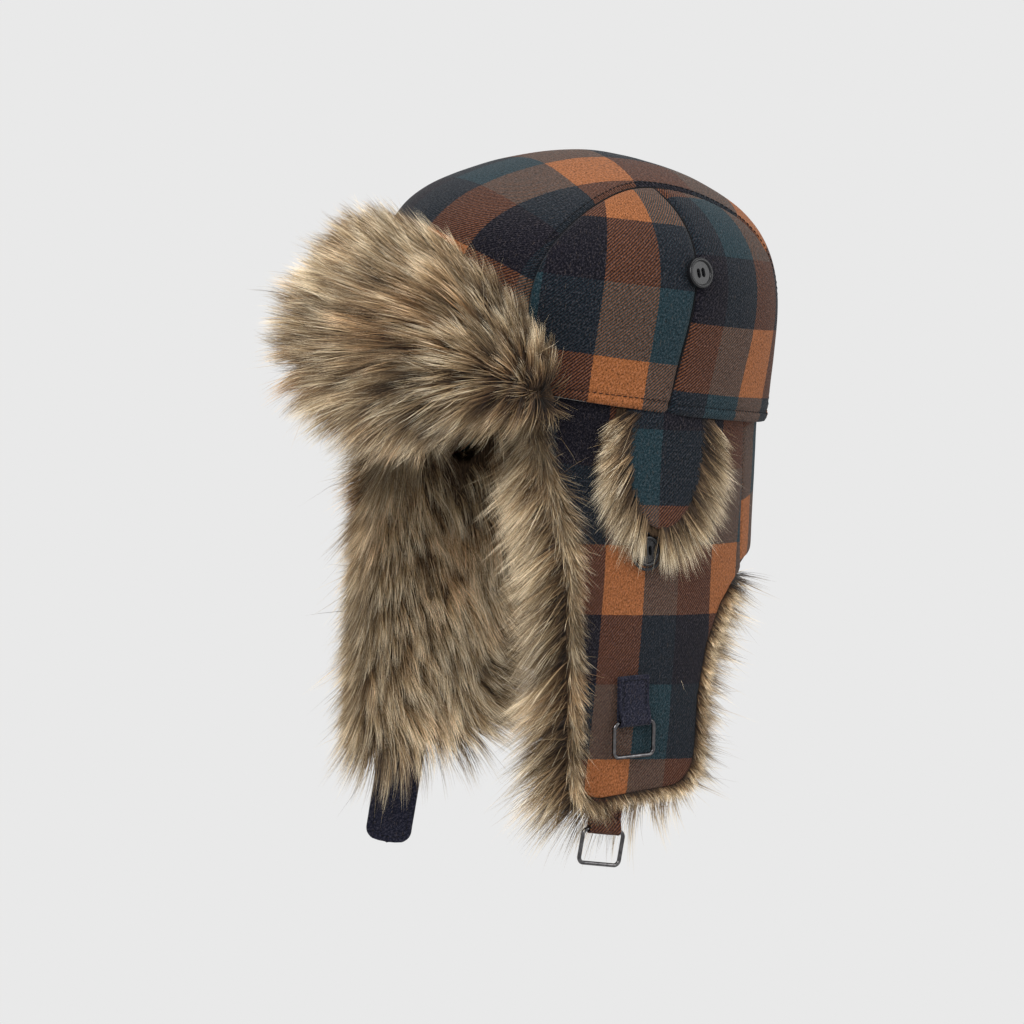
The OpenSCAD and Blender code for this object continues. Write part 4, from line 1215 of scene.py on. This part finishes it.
def frame_at(y, z, normal, mirror=False, twist=0.0, off=GAP - WOOL):
    """The CAD's place for a strap: turned to the flap's normal and square to the hem."""
    at = ear_at(y, z, off)
    turn = turned(0, -TILT) @ turned(2, math.atan2(normal[1], normal[0]) + twist)
    return lambda p: (np.asarray(p) @ turn.T + at) * ([-1, 1, 1] if mirror else [1, 1, 1])


def strip(length, width, thick, corner, rows, pad):
    """A cloth strip: x through it, y across, z down, with rounded corners at its lower end."""
    z = -np.linspace(0, length, rows)[:, None]
    down = np.clip(length + z, 0, corner)
    cut = corner - np.sqrt(np.clip(corner ** 2 - (corner - down) ** 2, 0, None))
    y = np.linspace(-1, 1, 26)[None, :] * (width / 2 - cut)
    z = z + 0 * y
    edge = np.minimum(width / 2 - np.abs(y), 50)
    sewn = 0.35 * np.exp(-((edge - STRAP_SEAM) / 0.6) ** 2)
    uneven = 0.15 * noise(np.stack([0 * y, y, z], -1), 6.0)
    puff = pad * (1 - np.exp(-np.maximum(edge, 0) / 1.2)) - sewn + uneven
    return stack(thick - 0.3 + puff, y, z), stack(0.0 * y, y, z), np.stack([y, z], -1)


z0 = -EAR_DROP - 2
place = frame_at(STRAP_Y, z0, ear_normal(STRAP_Y, z0), mirror=True, twist=STRAP_TURN, off=GAP)
total = STRAP_ROOT + 0.35 + STRAP_T / 2 + STRAP_L
out_face, in_face, uv = strip(total, STRAP_W, STRAP_T, STRAP_CORNER, rows=110, pad=0.35)
strap = mesh_piece("chin_strap_cloth", shell(place(out_face), place(in_face), uv), NAVY_WOOL,
                   ["chin_strap_root", "chin_strap"])
cut = place([[0, 0, -STRAP_ROOT + 3], [0, 0, -STRAP_ROOT - 6]])
blended(strap)


def on_face(place, points, way=1.0):
    """A line of stitches on a strap's face: its points and their normals once place has moved them."""
    at = place(points)
    return at, place(points + [way, 0, 0]) - at


lines = []
arc = np.linspace(0, np.pi, 30)
for face, way in ((STRAP_T, 1.0), (0.0, -1.0)):
    for y in (STRAP_SEAM - STRAP_W / 2, STRAP_W / 2 - STRAP_SEAM):
        lines.append(on_face(place, stack(face, y, -np.linspace(2, total - 6, 40)), way))
    tip = stack(face, -np.cos(arc) * (STRAP_W / 2 - STRAP_SEAM), -(total - 6) - np.sin(arc) * 3.4)
    lines.append(on_face(place, tip, way))
obj = stitch_piece("chin_strap_stitching", lines, pitch=2.9, length=2.1, radius=0.22)
blended(obj)


def tab_piece(name, node, place, length, material, uv_at):
    """A strip folded round the ring's bar and sewn to itself."""
    loop = BORE + TAB_SKIN
    mid_r = BORE + TAB_SKIN / 2
    back = np.stack([np.full(16, 0.6), -np.linspace(0, length, 16)], -1)
    a = np.linspace(np.pi, 2 * np.pi, 26)
    bend = np.stack([loop + mid_r * np.cos(a), -length + mid_r * np.sin(a)], -1)
    t = np.linspace(0, 1, 26)
    front = np.stack([mix(loop + mid_r, 2.0, smooth(t * 2.2)), -length * (1 - t)], -1)
    line = np.concatenate([back, bend[1:], front[1:]])
    tan = unit(np.gradient(line, axis=0))
    nrm = np.stack([tan[:, 1], -tan[:, 0]], -1)
    cols = 24
    y = np.linspace(-TAB_W / 2, TAB_W / 2, cols)[None, :]
    run = distances(line)[:, None]
    edge = TAB_W / 2 - np.abs(y)
    uneven = 0.12 * noise(np.stack(np.broadcast_arrays(y, run, 0 * y), -1), 6.0)
    puff = uneven - 0.28 * np.exp(-((edge - 2.2) / 0.6) ** 2)

    def face(off):
        return stack((line[:, :1] + nrm[:, :1] * off), y, (line[:, 1:] + nrm[:, 1:] * off))

    a_face, b_face = face(TAB_SKIN / 2 - 0.1 + puff), face(-TAB_SKIN / 2 + 0.1 + 0 * puff)
    uv = np.stack(np.broadcast_arrays(y + uv_at[0], run + uv_at[1]), -1)
    mesh_piece(name, shell(place(a_face), place(b_face), uv), material, [node], "ear_flap_left")
    rows = []
    for y0 in (-TAB_W / 2 + 2.2, TAB_W / 2 - 2.2):
        rows.append(on_face(place, stack(TAB_FACE, y0, -np.linspace(1.5, length - 5, 30))))
    for z1 in (-2.0, -(length - 7)):
        rows.append(on_face(place, stack(TAB_FACE, np.linspace(-TAB_W / 2 + 2.5, TAB_W / 2 - 2.5, 20), z1)))
    stitch_piece(f"{name}_stitching", rows, "ear_flap_left", pitch=2.8, length=2.0, radius=0.2)


y0, z0 = UPPER_TAB
normal = ear_normal(y0, z0 - UPPER_TAB_L / 2)
upright = turned(1, -math.asin(normal[2])) @ turned(0, math.radians(-3))
upper_turn = turned(2, math.atan2(normal[1], normal[0])) @ upright
upper_at = ear_at(y0, z0, 0.6)
tab_piece("upper_tab_cloth", "upper_ring_tab", lambda p: np.asarray(p) @ upper_turn.T + upper_at,
          UPPER_TAB_L, NAVY_WOOL, (0, 0))
z1 = -EAR_DROP - 2
tab_piece("end_tab_cloth", "end_ring_tab", frame_at(END_TAB_Y, z1, ear_normal(END_TAB_Y, z1)), END_TAB_L,
          PLAID, (14, 70))

# CAD nodes that keep their shape and get their own finish
for names, material in ((("crown_buttons", "flap_button_left", "flap_button_right"), BUTTON),
                        (("crown_button_threads", "flap_button_thread_left", "flap_button_thread_right"),
                         THREAD),
                        (("ear_cover_left_loop", "ear_cover_right_loop"), ELASTIC),
                        (("upper_ring", "end_ring"), METAL), (("strap_hook_patch",), HOOKS)):
    for name in names:
        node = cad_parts[name]
        for k in range(len(node.material_slots)):
            node.material_slots[k].material = material
        if not node.material_slots:
            node.data.materials.append(material)

# ---- Stage ----
FLOOR_Z = -0.75
PALE = linear(233, 233, 233)
pale = Nodes("pale_floor")
pale.set(Base_Color=(0, 0, 0, 1), Roughness=1.0, Specular_IOR_Level=0.0, Emission_Color=PALE,
         Emission_Strength=1.0)
bpy.ops.mesh.primitive_plane_add(size=60, location=(0, 0, FLOOR_Z))
floor = bpy.context.object
floor.name = "floor"
floor.data.materials.append(pale.material)

world = bpy.data.worlds.new("studio")
bpy.context.scene.world = world
world.use_nodes = True
background = world.node_tree.nodes["Background"]
background.inputs[0].default_value = PALE
background.inputs[1].default_value = 1.0

VIEW = np.array([0.749, -0.629, 0.208])
TARGET = np.array([-23.0, -27.0, -66.0])
CAMERA_AWAY = 5000.0


def area_light(name, at, towards, size, power):
    light = bpy.data.lights.new(name, "AREA")
    light.shape, light.size, light.size_y, light.energy = "RECTANGLE", size[0], size[1], power
    obj = bpy.data.objects.new(name, light)
    bpy.context.scene.collection.objects.link(obj)
    obj.location = at
    obj.rotation_euler = (Vector(towards) - Vector(at)).to_track_quat("-Z", "Y").to_euler()
    return obj


right_of = np.array([0.643, 0.766, 0.0])
centre = TARGET * MM
key = centre + VIEW * 1.5 - right_of * 0.6 + np.array([0, 0, 1.0])
side_light = centre + np.array([0.78, 0.60, 0.22]) * 1.6
area_light("key", key, centre, (1.0, 1.0), 26)
area_light("side", side_light, centre, (0.8, 0.8), 6)
area_light("top", centre + np.array([0, 0.2, 1.6]), centre, (1.4, 1.4), 8)

camera_data = bpy.data.cameras.new("camera")
camera_data.sensor_width = 36.0
camera_data.lens = 36.0 * CAMERA_AWAY / 539.0
camera_data.clip_end = 100.0
camera = bpy.data.objects.new("camera", camera_data)
bpy.context.scene.collection.objects.link(camera)
camera.location = (TARGET + VIEW / np.linalg.norm(VIEW) * CAMERA_AWAY) * MM
camera.rotation_euler = Vector(-VIEW).to_track_quat("-Z", "Y").to_euler()
bpy.context.scene.camera = camera
bpy.context.scene.view_settings.view_transform = "Standard"
